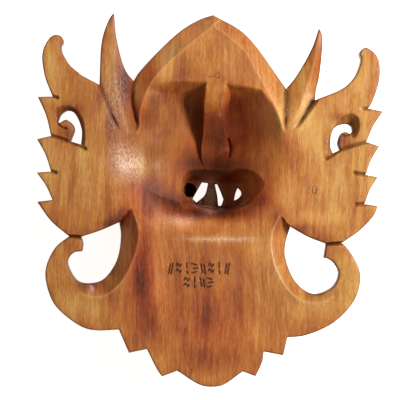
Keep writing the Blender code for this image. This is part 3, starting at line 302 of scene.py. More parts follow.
FEATHERS = [
    [(42.3, 24.3), (36.5, 23.9), (31.0, 20.5), (27.0, 14.0)],
    [(41.8, 15.4), (33.5, 10.4), (25.5, 8.5)],
    [(41.6, 6.6), (34.0, 3.6), (25.0, 4.0)],
    [(41.3, -1.2), (33.5, -2.4), (24.5, 0.0)],
    [(-42.0, 27.5), (-36.0, 26.6), (-30.0, 21.5), (-26.0, 14.0)],
    [(-42.4, 17.0), (-34.0, 11.6), (-24.5, 8.5)],
    [(-42.4, 7.5), (-34.0, 4.4), (-24.0, 4.0)],
    [(-42.0, -0.1), (-33.5, -2.0), (-23.5, 0.0)],
]
LOCKS = [
    [(8.8, -45.9), (5.4, -32.0), (5.0, -15.5)],
    [(14.4, -40.6), (10.5, -27.0), (10.0, -14.5)],
    [(20.7, -36.8), (14.6, -25.0), (14.6, -12.0)],
    [(-8.7, -45.7), (-4.6, -32.0), (-3.6, -15.5)],
    [(-16.8, -39.9), (-11.2, -27.0), (-8.8, -14.5)],
    [(-24.3, -34.7), (-16.0, -25.0), (-13.4, -12.0)],
]

# Finer relief of the back, on the same plan
RIDGE_SOFTNESS = 0.0006
CURL_FADE = 0.75
HORN_FOOT_Y = (17.6, 22.0)
LEFT_CROWN_RIDGE = [(-19.4, 17.5), (-18.8, 19.1), (-18.5, 23.3), (-15.8, 30.8), (-9.0, 38.3), (0.9, 46.4),
                    (6.4, 50.9)]
LEFT_CROWN_BEYOND = [(0.0, 58.0), (-16.0, 54.0), (-20.6, 33.0), (-20.9, 29.7), (-20.2, 23.9), (-19.7, 17.2)]
RIGHT_CROWN_RIDGE = [(-4.0, 50.3), (0.9, 46.4), (5.3, 43.3), (9.3, 39.6), (12.1, 34.8), (17.5, 24.7),
                     (19.9, 18.5)]
RIGHT_CROWN_BEYOND = [(20.2, 18.3), (20.4, 22.5), (20.5, 26.5), (20.5, 29.7), (23.0, 33.0), (14.0, 50.0),
                      (2.0, 58.0)]
# The narrow facet along the rib's right side, and the slit beside the rib
RIB_FACET = [(4.4, 31.6), (4.8, 30.6), (5.1, 27.6), (4.2, 24.4), (3.0, 21.7), (2.9, 22.6)]
RIB_FACET_RIDGE = [(4.2, 31.6), (2.9, 22.6)]
RIB_FACET_SLOPE = 1.1
RIB_SLIT = [(5.0, 16.4), (5.6, 14.2), (5.2, 11.6)]
RIB_SLIT_WIDTH, RIB_SLIT_DEPTH = 0.0024, 0.0030
# The cuts that end the crescents' spirals
SPIRAL_CUTS = [
    [(-40.6, 20.2), (-39.4, 19.2), (-38.4, 19.0)],
    [(37.9, 19.0), (36.9, 17.2), (35.4, 17.1)],
]
SPIRAL_WIDTH, SPIRAL_DEPTH = 0.0024, 0.0022
# Drying cracks and small marks: each one's line, width and depth
CHECKS = [
    ([(-6.9, -34.5), (-7.0, -40.0), (-5.9, -44.2), (-5.0, -46.3)], 0.0008, 0.0002),
    ([(20.0, 29.0), (20.1, 24.5), (20.3, 20.0)], 0.0010, 0.0008),
    ([(-0.2, 32.6), (1.0, 33.0), (2.3, 33.9), (2.4, 32.5), (1.2, 32.7)], 0.0012, 0.0004),
    ([(27.3, 3.4), (27.9, 3.7), (28.3, 2.6), (27.8, 1.5), (27.2, 2.0), (27.3, 3.4)], 0.0009, 0.0005),
]

# Two rows of cut strokes below the mouth, which spell nothing: each mark is a few strokes in a small cell
SIGN_ROWS = [
    ((-11.2, -16.9), 2.15, ("slants", "waves", "stop", "dashes", "back_slants", "waves", "stop", "slants")),
    ((-6.9, -20.7), 2.05, ("waves", "stop", "back_slants", "dashes")),
]
SIGN_SIZE = (1.45, 3.0)
SIGN_WIDTH, SIGN_DEPTH = 0.0015, 0.0010
SIGNS = {
    "slants": [[(0.1, 0.1), (0.4, 0.9)], [(0.55, 0.05), (0.9, 0.95)]],
    "back_slants": [[(0.35, 0.15), (0.1, 0.9)], [(0.9, 0.05), (0.65, 0.8)]],
    "waves": [[(0.0, 0.75), (0.3, 0.95), (0.6, 0.65), (0.9, 0.85)],
              [(0.0, 0.3), (0.3, 0.45), (0.6, 0.15), (0.9, 0.35)]],
    "stop": [[(0.45, 1.0), (0.5, 0.55)], [(0.5, 0.3), (0.55, 0.05)]],
    "dashes": [[(0.05, 0.9), (0.8, 0.8)], [(0.2, 0.5), (0.95, 0.55)], [(0.0, 0.1), (0.7, 0.2)]],
}

# Finer relief of the face, which fades out near the flats that it rests on
REST_BLEND = 0.002
VEIN_WIDTH, VEIN_DEPTH = 0.0022, 0.0011
VEIN_SPREAD = (2.2, 4.4)
HAIR_WIDTH, HAIR_DEPTH = 0.0024, 0.0013
IRIS_REACH, IRIS_WIDTH, IRIS_DEPTH = 2.7, 0.0016, 0.0011
BROW_HAIR = [
    [(3.4, 22.0), (8.0, 25.4), (13.4, 26.4), (18.6, 22.8)],
    [(2.6, 23.4), (7.2, 27.6), (13.2, 29.0), (19.6, 24.2)],
]
BETWEEN_LOCKS, BETWEEN_SIDES = (0.33, 0.67), (0.25, 0.5, 0.75)
CURL_VEINS = [
    [(-20.5, -6.0), (-21.0, -16.0), (-26.5, -24.5), (-34.0, -27.5), (-40.5, -21.5), (-39.5, -13.8)],
    [(18.6, -6.0), (19.0, -15.5), (23.0, -24.6), (29.5, -28.6), (36.6, -24.0), (36.6, -16.2)],
]

# Slow undulation that a gouge leaves: the waves' lengths, in metres, their directions and their height
TOOL_WAVES = ((0.031, 0.4), (0.019, 2.1), (0.012, 1.1), (0.0083, 2.7))
TOOL_HEIGHT = 0.00010
FACE_TOOL_HEIGHT = 0.00022
TOOL_SWAY, TOOL_SWAY_LENGTH = 1.3, 2.3

# Colour of the wood by place: plan centre, reach along x and y, and how much lighter (over 0) or darker it
# is. Besides the wood's own tone, many spots are painted shade and painted light, as noted below
TONES_AND_PAINTED_LIGHT = [
    # the plate, with painted highlights on the lip
    (-18.1, -20.5, 2.3, 11.5, -0.85), (-18.9, -22.3, 1.2, 4.2, -0.60), (-16.0, -33.5, 3.4, 6.0, -0.45),
    (-0.8, -31.6, 2.2, 4.6, -0.60), (7.9, -24.0, 1.7, 11.0, -0.35), (-2.5, -47.8, 3.5, 1.6, 0.40),
    (1.0, -42.0, 6.0, 3.0, -0.40), (-14.0, -43.5, 2.6, 4.0, 0.50), (-14.0, -22.7, 1.4, 12.0, 0.40),
    (18.5, -20.0, 6.0, 8.0, 0.20), (18.0, -14.0, 2.0, 6.0, 0.45), (15.5, -21.5, 2.6, 5.0, -0.10),
    (12.0, -13.0, 3.5, 5.0, 0.50), (2.0, -10.5, 5.0, 2.0, 0.40), (12.0, -36.0, 5.0, 5.0, 0.45),
    (0.0, -22.0, 16.0, 18.0, -0.12), (-1.0, -6.5, 12.0, 1.8, 0.45), (-8.0, -5.6, 4.0, 1.4, 0.10),
    (7.6, -15.0, 2.0, 4.0, -0.25),
    # the wings and the curls, with painted shade in the creases, on the crescents' bevels and under the
    # wings' lower edges, and painted light on faces that lie in shade
    (28.0, 20.5, 4.5, 7.5, 0.80), (22.6, 10.6, 2.2, 4.5, -0.40), (25.4, 14.8, 2.0, 2.6, 0.35),
    (19.5, 16.0, 1.6, 3.0, -0.25), (36.5, 2.0, 2.0, 4.0, 0.25), (29.4, 12.5, 1.6, 5.0, 0.45),
    (29.5, 2.0, 7.0, 7.0, 0.40), (30.0, -5.0, 8.0, 2.4, 0.50), (20.0, 2.5, 3.0, 8.0, 0.55),
    (37.0, 24.0, 5.0, 7.0, 0.35), (34.0, 22.0, 2.6, 1.0, -0.60), (36.0, 28.6, 4.0, 2.0, -0.25),
    (35.0, 15.6, 2.2, 1.8, -0.90), (31.0, 15.0, 1.0, 4.6, -0.45), (43.0, 10.0, 3.0, 20.0, 0.65),
    (40.0, 36.0, 6.0, 8.0, 0.60), (-42.0, 34.0, 3.6, 12.0, 0.65), (-42.0, 10.0, 5.0, 8.0, 0.40),
    (-38.0, 17.5, 2.4, 2.0, -0.70), (-37.0, 24.2, 3.4, 1.2, -0.60), (-36.0, 8.0, 10.0, 20.0, 0.22),
    (-34.0, 0.0, 2.6, 6.0, 0.25), (-29.6, 11.0, 1.8, 7.0, 0.15), (-27.3, 8.0, 1.4, 6.0, 0.45),
    (-23.8, 5.4, 2.2, 2.0, 0.35), (-33.0, 14.0, 2.0, 6.0, 0.35), (-36.8, 6.0, 1.5, 10.0, -0.45),
    (-20.0, 0.0, 4.0, 3.0, 0.55), (-24.0, -5.2, 1.6, 2.2, -1.00), (-22.8, -3.4, 2.0, 1.6, -0.50),
    (-32.5, -8.6, 4.0, 1.2, -0.50), (18.6, -5.0, 1.6, 2.4, -0.70), (-26.5, -6.4, 4.0, 1.3, -0.60),
    (24.0, -8.0, 4.0, 1.4, -0.60), (-25.4, 19.0, 1.4, 4.0, -0.20), (-26.8, 22.6, 1.2, 4.8, -0.45),
    (-29.2, 27.8, 1.3, 3.4, -0.80), (-22.6, 33.4, 1.8, 5.0, -1.00), (-23.4, 26.0, 2.0, 6.0, -0.30),
    (-26.8, 36.0, 1.4, 10.0, 0.45), (-22.4, 29.0, 1.8, 4.0, -0.70), (-31.3, -22.8, 3.0, 1.8, -0.95),
    (-30.6, -26.4, 1.4, 3.0, -0.35), (-26.4, -21.4, 2.0, 2.2, 0.45), (-34.0, -28.5, 7.0, 5.0, 0.70),
    (-42.0, -20.0, 3.0, 8.0, 0.20), (-22.5, -11.0, 1.9, 7.5, 0.95), (28.5, -29.0, 8.0, 4.0, 0.45),
    (38.0, -21.0, 3.6, 9.0, 0.60), (29.0, -10.6, 3.4, 1.2, -0.40), (24.0, 33.0, 2.2, 7.0, 0.75),
    (25.8, 24.2, 1.6, 3.4, 0.40), (23.6, 21.0, 2.0, 3.4, 0.50),
    # the crown, with painted light on its shaded left facets
    (-6.0, 44.0, 6.0, 4.0, 0.75), (-1.0, 46.4, 2.0, 2.6, 0.45), (5.4, 41.0, 2.4, 3.0, 0.15),
    (-12.5, 36.6, 3.6, 5.0, 0.90), (-7.0, 35.0, 2.2, 4.0, -0.30), (-3.6, 37.8, 2.6, 4.0, 0.45),
    (-10.4, 40.2, 2.4, 2.4, 0.30), (1.2, 25.8, 2.0, 4.2, 0.50), (-0.6, 35.0, 2.6, 7.0, 0.30),
    (13.0, 28.0, 3.0, 8.0, 0.25), (13.5, 22.5, 4.0, 6.0, 0.45), (17.5, 21.5, 3.2, 6.0, 0.60),
    (-19.0, 29.0, 2.4, 6.0, 0.85),
    # the hollow: mostly painted shade where the rib's and the rim's shadows fall, on the rib, in the mouth's
    # cavity and along the lip, with a painted highlight on the left rim and painted light on the tongue's
    # back
    (-11.5, 27.5, 4.0, 3.4, -0.45), (-17.8, 21.7, 2.4, 3.4, -0.40), (15.4, 22.0, 2.6, 6.0, 0.45),
    (-16.0, 14.0, 7.0, 12.0, -0.30), (-17.0, 1.5, 4.5, 4.0, -0.75), (-13.0, 2.2, 4.4, 2.4, -0.35),
    (-19.0, 9.2, 2.0, 5.0, 0.75), (-10.0, -0.9, 6.0, 2.4, -0.95), (-5.4, 10.5, 2.6, 4.0, -0.80),
    (2.5, 8.6, 9.0, 2.6, -0.70), (2.5, 20.0, 7.0, 6.5, -0.85), (2.0, 12.0, 5.0, 6.0, -0.55),
    (-16.2, 25.0, 2.6, 5.0, -0.35), (10.2, 3.8, 2.8, 3.0, 1.10), (8.4, 1.6, 2.0, 2.0, 0.45),
    (-5.4, 2.6, 1.6, 1.8, 0.75), (13.8, 0.4, 2.6, 2.6, -0.45), (12.0, -0.8, 4.0, 1.8, -0.60),
    (0.0, -3.6, 9.0, 1.6, -1.30), (-4.0, 3.6, 2.0, 3.0, -1.00), (0.3, 1.2, 1.6, 3.4, 3.00),
]

# The same places and reaches, and how much redder (over 0) or more golden the wood is: partly the wood's own
# hue, partly a painted red tint of shade in the hollow and on the crown's shaded left slope
WARMTHS_AND_SHADE_TINTS = [
    (-17.0, -20.0, 5.0, 14.0, 0.80), (0.0, -34.0, 14.0, 9.0, 0.60), (0.0, -4.0, 16.0, 4.0, 0.70),
    (-18.0, 1.5, 5.0, 4.0, 0.90), (14.0, 3.0, 5.0, 5.0, 0.60), (-19.5, 30.0, 3.5, 6.0, 0.50),
    (6.0, 16.0, 8.0, 12.0, 0.35), (-19.0, 28.5, 2.1, 8.0, 1.60), (-16.4, 37.0, 3.8, 5.0, 1.50),
    (-8.4, 45.0, 5.5, 3.2, 1.60), (-15.6, 26.0, 2.0, 5.0, -1.00), (15.0, 21.5, 2.6, 5.4, 1.50),
    (-21.6, -11.0, 3.0, 8.0, 1.10), (11.0, 3.0, 4.0, 4.0, 0.60), (12.0, 22.0, 8.0, 7.0, 0.60),
    (-4.5, 22.0, 2.2, 9.0, 0.25), (-12.5, 22.5, 4.6, 7.0, -1.00), (-13.5, 12.0, 6.0, 9.0, -1.00),
    (18.0, -24.0, 7.0, 12.0, -0.70), (37.0, 8.0, 9.0, 22.0, -0.60), (33.0, -24.0, 8.0, 10.0, -0.60),
    (-36.0, 8.0, 9.0, 24.0, -0.25), (-36.0, -24.0, 9.0, 9.0, -0.50), (19.8, 26.8, 2.0, 5.4, -1.30),
]

# The same, and how strongly a pale, speckled colour is painted in: painted highlights on the left rim and on
# the lip, painted light on the tongue's back, and a paler patch on the left horn
PAINTED_HIGHLIGHTS = [
    (-23.4, 10.6, 3.2, 4.4, 0.50), (-19.4, 9.2, 2.0, 4.6, 0.45), (-25.4, 27.0, 3.0, 9.0, 0.34),
    (0.3, 1.2, 2.0, 3.4, 1.30), (-7.5, -5.6, 5.4, 1.2, 0.30), (3.0, -10.5, 9.0, 0.5, 0.45),
]

# Ridge lines and the lip's edge with a painted highlight: paler lines that stand for the sheen along them
RIDGE_HIGHLIGHT_LINES = [LEFT_CURL_RIDGE, RIGHT_CURL_RIDGE, LEFT_HORN_RIDGE, RIGHT_HORN_RIDGE, LEFT_CROWN_RIDGE,
              RIGHT_CROWN_RIDGE, RIB_FACET_RIDGE, [(-5.3, -10.5), (9.5, -10.4)]]
RIDGE_HIGHLIGHT_WIDTH = 0.0022

# Painted shade: how dark the edges, walls and cuts are painted, and how much wider than a cut its painted
# shade is
EDGE_SHADE, EDGE_DARKNESS, WALL_DARKNESS = 0.0014, 0.80, 0.45
CRESCENT_SHADE_RISE, CRESCENT_DARKNESS = 900.0, 0.34
SIGN_SPREAD, SIGN_DARKNESS = 1.3, 1.8
CHECK_SPREAD, CHECK_DARKNESS = 1.5, 0.6
HORN_SPREAD, HORN_DARKNESS = 1.4, 0.8
NOTCH_DARKNESS, SPIRAL_DARKNESS = 0.7, 0.6
FACE_GROOVE_SPREAD, FACE_GROOVE_DARKNESS, FACE_CUT_DARKNESS = 0.5, 0.8, 0.5
MOST_TONE = 2.0

# The same, and how much glossier (over 0) or duller the wood is
GLOSS = [
    (-2.0, 12.0, 16.0, 15.0, -0.90), (-22.6, 9.6, 3.0, 5.4, 0.15), (-18.6, 25.0, 3.6, 8.0, -0.80),
    (-7.0, -5.6, 5.0, 1.8, 0.60), (-1.0, -2.8, 6.0, 1.4, -0.60), (28.6, 35.0, 2.4, 9.0, -0.90),
]

# Wood, in linear colour
DARK_WOOD = (0.058, 0.014, 0.006, 1.0)
RED_WOOD = (0.245, 0.056, 0.014, 1.0)
HONEY_WOOD = (0.435, 0.146, 0.028, 1.0)
PALE_WOOD = (0.700, 0.390, 0.108, 1.0)
# painted highlight along the ridges and the lip's edge
RIDGE_HIGHLIGHT_COLOUR = (0.740, 0.440, 0.200, 1.0)
# painted shade for the cuts, cracks, grooves, the blind hole, the edges and the walls
PAINTED_CUT_SHADE = (0.044, 0.009, 0.004, 1.0)
PORE_COLOUR = (0.120, 0.038, 0.012, 1.0)
GOLDEN_TINT = (0.93, 1.12, 1.10, 1.0)
PLAIN_TINT = (1.0, 1.0, 1.0, 1.0)
RED_TINT = (1.12, 0.78, 0.84, 1.0)
# colour of the painted highlights and painted light
PAINTED_HIGHLIGHT_COLOUR = (0.80, 0.66, 0.52, 1.0)

# Noises of the wood, along its grain and in place: fineness along x, y and z, detail, roughness, distortion
SWAY = ((9.0, 5.0, 9.0), 2.0, 0.5)
SWAY_REACH = 0.030
GRAIN_NOISES = {
    "rings": ((95.0, 3.2, 28.0), 3.0, 0.55),
    "streaks": ((380.0, 36.0, 70.0), 4.0, 0.62),
    "fibres": ((1150.0, 210.0, 400.0), 3.0, 0.6),
    "pores": ((2300.0, 150.0, 2300.0), 1.0, 0.5),
}
PLACE_NOISES = {
    "mottle": ((34.0, 20.0, 34.0), 4.0, 0.6, 0.6),
    "speckle": ((900.0, 420.0, 900.0), 2.0, 0.6),
    "scuffs": ((160.0, 60.0, 160.0), 5.0, 0.7),
}

# How strongly each noise and mark tells in the wood's shade, from dark to pale
GRAIN_SHADES = {"rings": 0.34, "streaks": 0.46, "fibres": 0.28}
MOTTLE_SHADE, TONE_SHADE = 0.36, 1.24
DULL_GRAIN = 0.35
WOOD_STOPS = ((0.10, DARK_WOOD), (0.36, RED_WOOD), (0.55, HONEY_WOOD), (0.85, PALE_WOOD))
TINT_STOPS = ((0.0, GOLDEN_TINT), (0.5, PLAIN_TINT), (1.0, RED_TINT))
PORE_START, PORE_RISE, PORE_ROUND, PORE_DARKNESS = 0.60, 6.0, 0.1, 0.45
SPECKLE_STOPS, LEAST_SPECKLE = (0.40, 0.60), 0.10
# how strongly the painted ridge highlights and the painted shade of the cuts tell
RIDGE_HIGHLIGHT_STRENGTH, CUT_SHADE = 0.28, 0.88

# Gloss: the roughness with what changes it, the relief of the grain, the shine and the thin coat of wax
WOOD_ROUGHNESS = 0.40
SCUFF_ROUGHNESS, STREAK_ROUGHNESS, CUT_ROUGHNESS, PAINTED_HIGHLIGHT_ROUGHNESS = 0.26, 0.12, 0.30, 0.10
POLISH_SMOOTHNESS = 0.25
RELIEF = {"fibres": 0.35, "streaks": 0.5, "pores": -0.6, "scuffs": 0.5}
BUMP_STRENGTH, BUMP_HEIGHT = 0.35, 0.0006
SHINE, POLISH_SHINE, LEAST_SHINE = 0.33, 0.30, 0.05
COAT, POLISH_COAT, COAT_ROUGHNESS = 0.08, 0.10, 0.22

# Stage
FLOOR_COLOUR = (0.75, 0.75, 0.75, 1.0)
FLOOR_GLOW = 0.84
FLOOR_ROUGHNESS = 0.9
FLOOR_GLOW_COLOUR = (1.0, 1.0, 1.0, 1.0)
FLOOR_SIZE = 6.0
SURROUND_COLOUR = (1.0, 1.0, 1.0, 1.0)
SURROUND_STRENGTH = 0.26
LIGHT_TARGET = (0.0, 0.0, 0.06)
LIGHTS = [
    ("key", (0.93, 0.20, 0.96), 0.36, 22.0, (1.0, 0.97, 0.93)),
    ("crown_light", (0.30, 0.90, 0.90), 0.80, 1.2, (1.0, 0.99, 0.97)),
]
CAMERA_PLACE = (-0.00788, -0.00036, 2.092)
CAMERA_LENS = 225.0
CAMERA_SENSOR = 36.0
CAMERA_REACH = 20.0


def smooth(points, step=LINE_STEP):
    """A smooth curve through plan points, in metres, with a point about every step."""
    knots = np.array(points, float) * SHARE
    if len(knots) == 2:
        count = max(1, round(np.linalg.norm(knots[1] - knots[0]) / step))
        return knots[0] + np.linspace(0, 1, count + 1)[:, None] * (knots[1] - knots[0])
    ends = np.vstack([2 * knots[0] - knots[1], knots, 2 * knots[-1] - knots[-2]])
    pieces = []
    for before, start, end, after in zip(ends, ends[1:], ends[2:], ends[3:]):
        near = np.linalg.norm(start - before) ** 0.5
        span = np.linalg.norm(end - start) ** 0.5
        far = np.linalg.norm(after - end) ** 0.5
        leave = ((start - before) / near - (end - before) / (near + span) + (end - start) / span) * span
        arrive = ((end - start) / span - (after - start) / (span + far) + (after - end) / far) * span
        count = max(2, round(np.linalg.norm(end - start) / step))
        t = np.linspace(0, 1, count, endpoint=False)[:, None]
        pieces.append((2 * t**3 - 3 * t**2 + 1) * start + (t**3 - 2 * t**2 + t) * leave
                      + (3 * t**2 - 2 * t**3) * end + (t**3 - t**2) * arrive)
    return np.vstack(pieces + [knots[-1:]])


def bowed(start, end, bulge):
    """Three points of a shallow arc from start to end, bowed to the right by a share of its length."""
    run = np.subtract(end, start)
    middle = np.add(start, end) / 2 + bulge * np.array([run[1], -run[0]])
    return [start, tuple(middle), end]


def side_strokes(side, outwards):
    """The strokes of one side of the outline, from the crown's tip down."""
    strokes = []
    last = CROWN_TIP
    for part in ("crown", "horn", "wing"):
        for stroke in side[part]:
            strokes.append([last] + stroke)
            last = stroke[-1]
    teeth = side["teeth"]
    for notch, tip, following in zip(teeth[0::2], teeth[1::2], teeth[2::2]):
        strokes.append([notch, tip])
        strokes.append(bowed(tip, following, -outwards * TOOTH_BULGE))
    strokes.append([teeth[-2], teeth[-1]])
    last = teeth[-1]
    for part in ("wing_foot", "curl", "beard"):
        for stroke in side[part]:
            strokes.append([last] + stroke)
            last = stroke[-1]
    return strokes


def faceted(curve):
    """The points of a fine curve that keep it within the outline's tolerance."""
    kept = [0]
    while kept[-1] < len(curve) - 1:
        start = kept[-1]
        reach = start + 1
        while reach + 1 < len(curve):
            chord = curve[reach + 1] - curve[start]
            length = np.linalg.norm(chord)
            inner = curve[start + 1 : reach + 1] - curve[start]
            strayed = np.abs(chord[0] * inner[:, 1] - chord[1] * inner[:, 0]) / length
            if strayed.max() > OUTLINE_TOLERANCE or length > OUTLINE_STEP:
                break
            reach += 1
        kept.append(reach)
    return curve[kept]


def ring(strokes):
    """A closed ring of plan points from strokes that follow each other."""
    fine = OUTLINE_STEP / 4
    return np.vstack([faceted(smooth(stroke, fine))[:-1] for stroke in strokes])


def mask_rings():
    """The outline, counter-clockwise, then each opening, clockwise."""
    right = side_strokes(RIGHT_SIDE, -1)
    left = [stroke[::-1] for stroke in reversed(side_strokes(LEFT_SIDE, 1))]
    rings = [ring(right + [CHIN] + left)] + [ring(strokes) for strokes in OPENINGS.values()]
    turned = []
    for index, points in enumerate(rings):
        following = np.roll(points, -1, axis=0)
        area = (points[:, 0] * following[:, 1] - points[:, 1] * following[:, 0]).sum()
        wrong_way = area < 0 if index == 0 else area > 0
        turned.append(points[::-1] if wrong_way else points)
    return turned


def nearest(spots, line):
    """Each spot's distance to a line, and how far along the line that is, from 0 to 1."""
    span = np.diff(line, axis=0)
    length = np.hypot(*span.T)
    travelled = np.concatenate([[0], np.cumsum(length)]) / length.sum()
    gaps = []
    shares = []
    for some in np.array_split(spots, max(1, len(spots) * len(line) // 500_000)):
        offset = some[:, None] - line[None, :-1]
        along = np.clip((offset * span).sum(axis=-1) / length**2, 0, 1)
        away = offset - along[..., None] * span
        gap = np.hypot(away[..., 0], away[..., 1])
        which = gap.argmin(axis=1)
        rows = np.arange(len(some))
        gaps.append(gap[rows, which])
        shares.append(travelled[which] + along[rows, which] * np.diff(travelled)[which])
    return np.concatenate(gaps), np.concatenate(shares)


def close_to(spots, line, reach):
    """Which spots lie within a line's box, grown by a reach."""
    return ((spots > line.min(axis=0) - reach) & (spots < line.max(axis=0) + reach)).all(axis=1)


def gap_to(spots, line, reach):
    """Each spot's distance to a line, counted no further than a reach."""
    gap = np.full(len(spots), float(reach))
    close = close_to(spots, line, reach)
    gap[close] = np.minimum(nearest(spots[close], line)[0], reach)
    return gap


def inside(spots, field):
    """Whether each spot lies within a closed field."""
    within = np.zeros(len(spots), bool)
    close = close_to(spots, field, 0.0)
    x, y = spots[close, :1], spots[close, 1:]
    x1, y1 = field.T
    x2, y2 = np.roll(field, -1, axis=0).T
    rise = np.where(y1 == y2, 1.0, y2 - y1)
    crossed = ((y1 > y) != (y2 > y)) & (x < x1 + (y - y1) * (x2 - x1) / rise)
    within[close] = crossed.sum(axis=1) % 2 == 1
    return within


def ramp(value, low, high):
    """A smooth step from 0 at low to 1 at high."""
    t = np.clip((value - low) / (high - low), 0, 1)
    return t * t * (3 - 2 * t)


def groove(spots, line, width, depth):
    """A V-shaped cut along a line."""
    return depth * (1 - gap_to(spots, smooth(line), width / 2) / (width / 2))


def softened(cut):
    """A cut that starts with a small round instead of a crisp corner."""
    return np.where(cut > 0, np.hypot(cut, RIDGE_SOFTNESS) - RIDGE_SOFTNESS, 0.0)


def bevel(spots, ridge, beyond, slope, fade=1.0):
    """A sloping cut that starts at a ridge line, and fades out along its last part."""
    line = smooth(ridge)
    field = np.vstack([line, np.array(beyond) * SHARE])
    cut = np.zeros(len(spots))
    within = inside(spots, field)
    gap, share = nearest(spots[within], line)
    cut[within] = gap * slope * (1 - ramp(share, fade, PAST_THE_END))
    return softened(cut)


def horn(spots, root, beyond, ridge, slope):
    """A horn's cut: it sinks from its root on, and falls away from its ridge like a roof."""
    field = np.array(root + beyond) * SHARE
    within = inside(spots, field)
    sunk = ramp(spots[within, 1], HORN_ROOT_Y * SHARE, HORN_SUNK_Y * SHARE)
    roof = slope * (np.hypot(nearest(spots[within], smooth(ridge))[0], RIDGE_SOFTNESS) - RIDGE_SOFTNESS)
    cut = np.zeros(len(spots))
    cut[within] = sunk * (HORN_SINK + roof)
    sides = groove(spots, root, HORN_GROOVE_WIDTH, HORN_GROOVE_DEPTH)
    return np.maximum(cut, sides * ramp(spots[:, 1] / SHARE, *HORN_FOOT_Y))


def ellipse(spots, centre, reach):
    """1 at the centre of an ellipse, 0 on its edge and below 0 outside it."""
    offset = (spots / SHARE - centre) / reach
    return 1 - np.hypot(*offset.T)


def hollow(spots):
    """The hollow that the wearer's face fits: four sides that run down to a floor."""
    def side(gap, slope, turn):
        """The depth of one side, this far in from its rim."""
        return slope * (np.hypot(gap, turn) - turn)

    left_turn = LEFT_ROUND_LOW + (LEFT_ROUND - LEFT_ROUND_LOW) * ramp(
        spots[:, 1], LEFT_ROUND_Y[0] * SHARE, LEFT_ROUND_Y[1] * SHARE)
    low = 1 - ramp(spots[:, 1], RIGHT_ROUND_Y[0] * SHARE, RIGHT_ROUND_Y[1] * SHARE)
    right_turn = RIGHT_ROUND + (RIGHT_ROUND_LOW - RIGHT_ROUND) * low
    right_slope = RIGHT_SLOPE + (RIGHT_SLOPE_LOW - RIGHT_SLOPE) * low
    top_slope = TOP_SLOPE_LEFT + (TOP_SLOPE - TOP_SLOPE_LEFT) * ramp(
        spots[:, 0], TOP_SLOPE_X[0] * SHARE, TOP_SLOPE_X[1] * SHARE)
    left_x, left_y = smooth(HOLLOW_LEFT).T
    from_left = spots[:, 0] - np.interp(spots[:, 1], left_y, left_x)
    walls = [
        side(nearest(spots, smooth(HOLLOW_TOP))[0], top_slope, TOP_ROUND),
        side(from_left, LEFT_SLOPE, left_turn),
        side(nearest(spots, smooth(HOLLOW_RIGHT))[0], right_slope, right_turn),
        np.full(len(spots), HOLLOW_DEPTH),
    ]
    scooped = sum(np.maximum(wall, LEAST_SIDE) ** -HOLLOW_BLEND for wall in walls) ** (-1 / HOLLOW_BLEND)
    carved = mouth(spots, scooped)
    edge, rim = smooth(LIP_EDGE), smooth(HOLLOW_LIP)
    lip = inside(spots, np.vstack([edge, rim]))
    from_rim = nearest(spots[lip], rim)[0]
    share = from_rim / (from_rim + nearest(spots[lip], edge)[0])
    rolled = share**LIP_ROLL
    carved[lip] = rolled * carved[lip] + (1 - rolled) * np.minimum(carved[lip], LIP_SLOPE * from_rim)
    return carved


def mouth(spots, depth):
    """The hollow's depth with the cavity behind the lips, which falls from its rim to its floor."""
    rim, floor_rim = smooth(MOUTH_RIM), smooth(MOUTH_FLOOR)
    within = inside(spots, rim)
    floor = inside(spots, floor_rim)
    from_rim = nearest(spots[within], rim)[0]
    from_floor = np.where(floor[within], 0, nearest(spots[within], floor_rim)[0])
    fallen = ramp(from_rim / (from_rim + from_floor), 0, 1)
    carved = depth.copy()
    carved[within] += (MOUTH_DEPTH - depth[within]) * fallen
    return carved


def hollow_field():
    """The hollow's closed rim."""
    return np.vstack([smooth(line)[:-1] for line in (HOLLOW_TOP, HOLLOW_RIGHT, HOLLOW_LIP, HOLLOW_LEFT)])


def rib_depth(spots):
    """How deep the rib's top and sides lie."""
    def past(field):
        """How far each spot lies outside a field."""
        corners = np.array(field) * SHARE
        gap = nearest(spots, np.vstack([corners, corners[:1]]))[0]
        gap[inside(spots, corners)] = 0
        return gap

    top = np.interp(spots[:, 1], *smooth(RIB_PROFILE).T)
    ridge_gap = nearest(spots, smooth(RIB_FACET_RIDGE))[0]
    facet = top + RIB_FACET_SLOPE * ridge_gap + RIB_SIDE_SLOPE * past(RIB_FACET)
    return np.minimum(top + RIB_SIDE_SLOPE * past(RIB), facet)


def sign_lines():
    """The strokes of the two rows of marks."""
    lines = []
    for (x, y), spacing, names in SIGN_ROWS:
        for index, name in enumerate(names):
            for stroke in SIGNS[name]:
                left, top = x + index * spacing, y - SIGN_SIZE[1]
                lines.append([(left + u * SIGN_SIZE[0], top + v * SIGN_SIZE[1]) for u, v in stroke])
    return lines


def tool_marks(spots, height):
    """The slow undulation that a gouge leaves."""
    marks = np.zeros(len(spots))
    for length, turn in TOOL_WAVES:
        along = spots[:, 0] * np.cos(turn) + spots[:, 1] * np.sin(turn)
        across = spots[:, 1] * np.cos(turn) - spots[:, 0] * np.sin(turn)
        sway = TOOL_SWAY * np.sin(2 * np.pi * across / (TOOL_SWAY_LENGTH * length))
        marks += np.sin(2 * np.pi * along / length + sway)
    return height * (1 + marks / len(TOOL_WAVES))


def back_cuts(spots):
    """The fine cuts of the back."""
    cuts = [groove(spots, line, SPIRAL_WIDTH, SPIRAL_DEPTH) for line in SPIRAL_CUTS]
    cuts += [groove(spots, line, width, depth) for line, width, depth in CHECKS]
    cuts += [groove(spots, line, SIGN_WIDTH, SIGN_DEPTH) for line in sign_lines()]
    cuts.append(groove(spots, RIB_SLIT, RIB_SLIT_WIDTH, RIB_SLIT_DEPTH))
    return np.max(cuts, axis=0)


def shoulder(spots):
    """How far the level back slopes off at the hollow's left rim."""
    offset = (spots / SHARE - SHOULDER) / SHOULDER_REACH
    return SHOULDER_DEPTH * np.exp(-(offset**2).sum(axis=1))


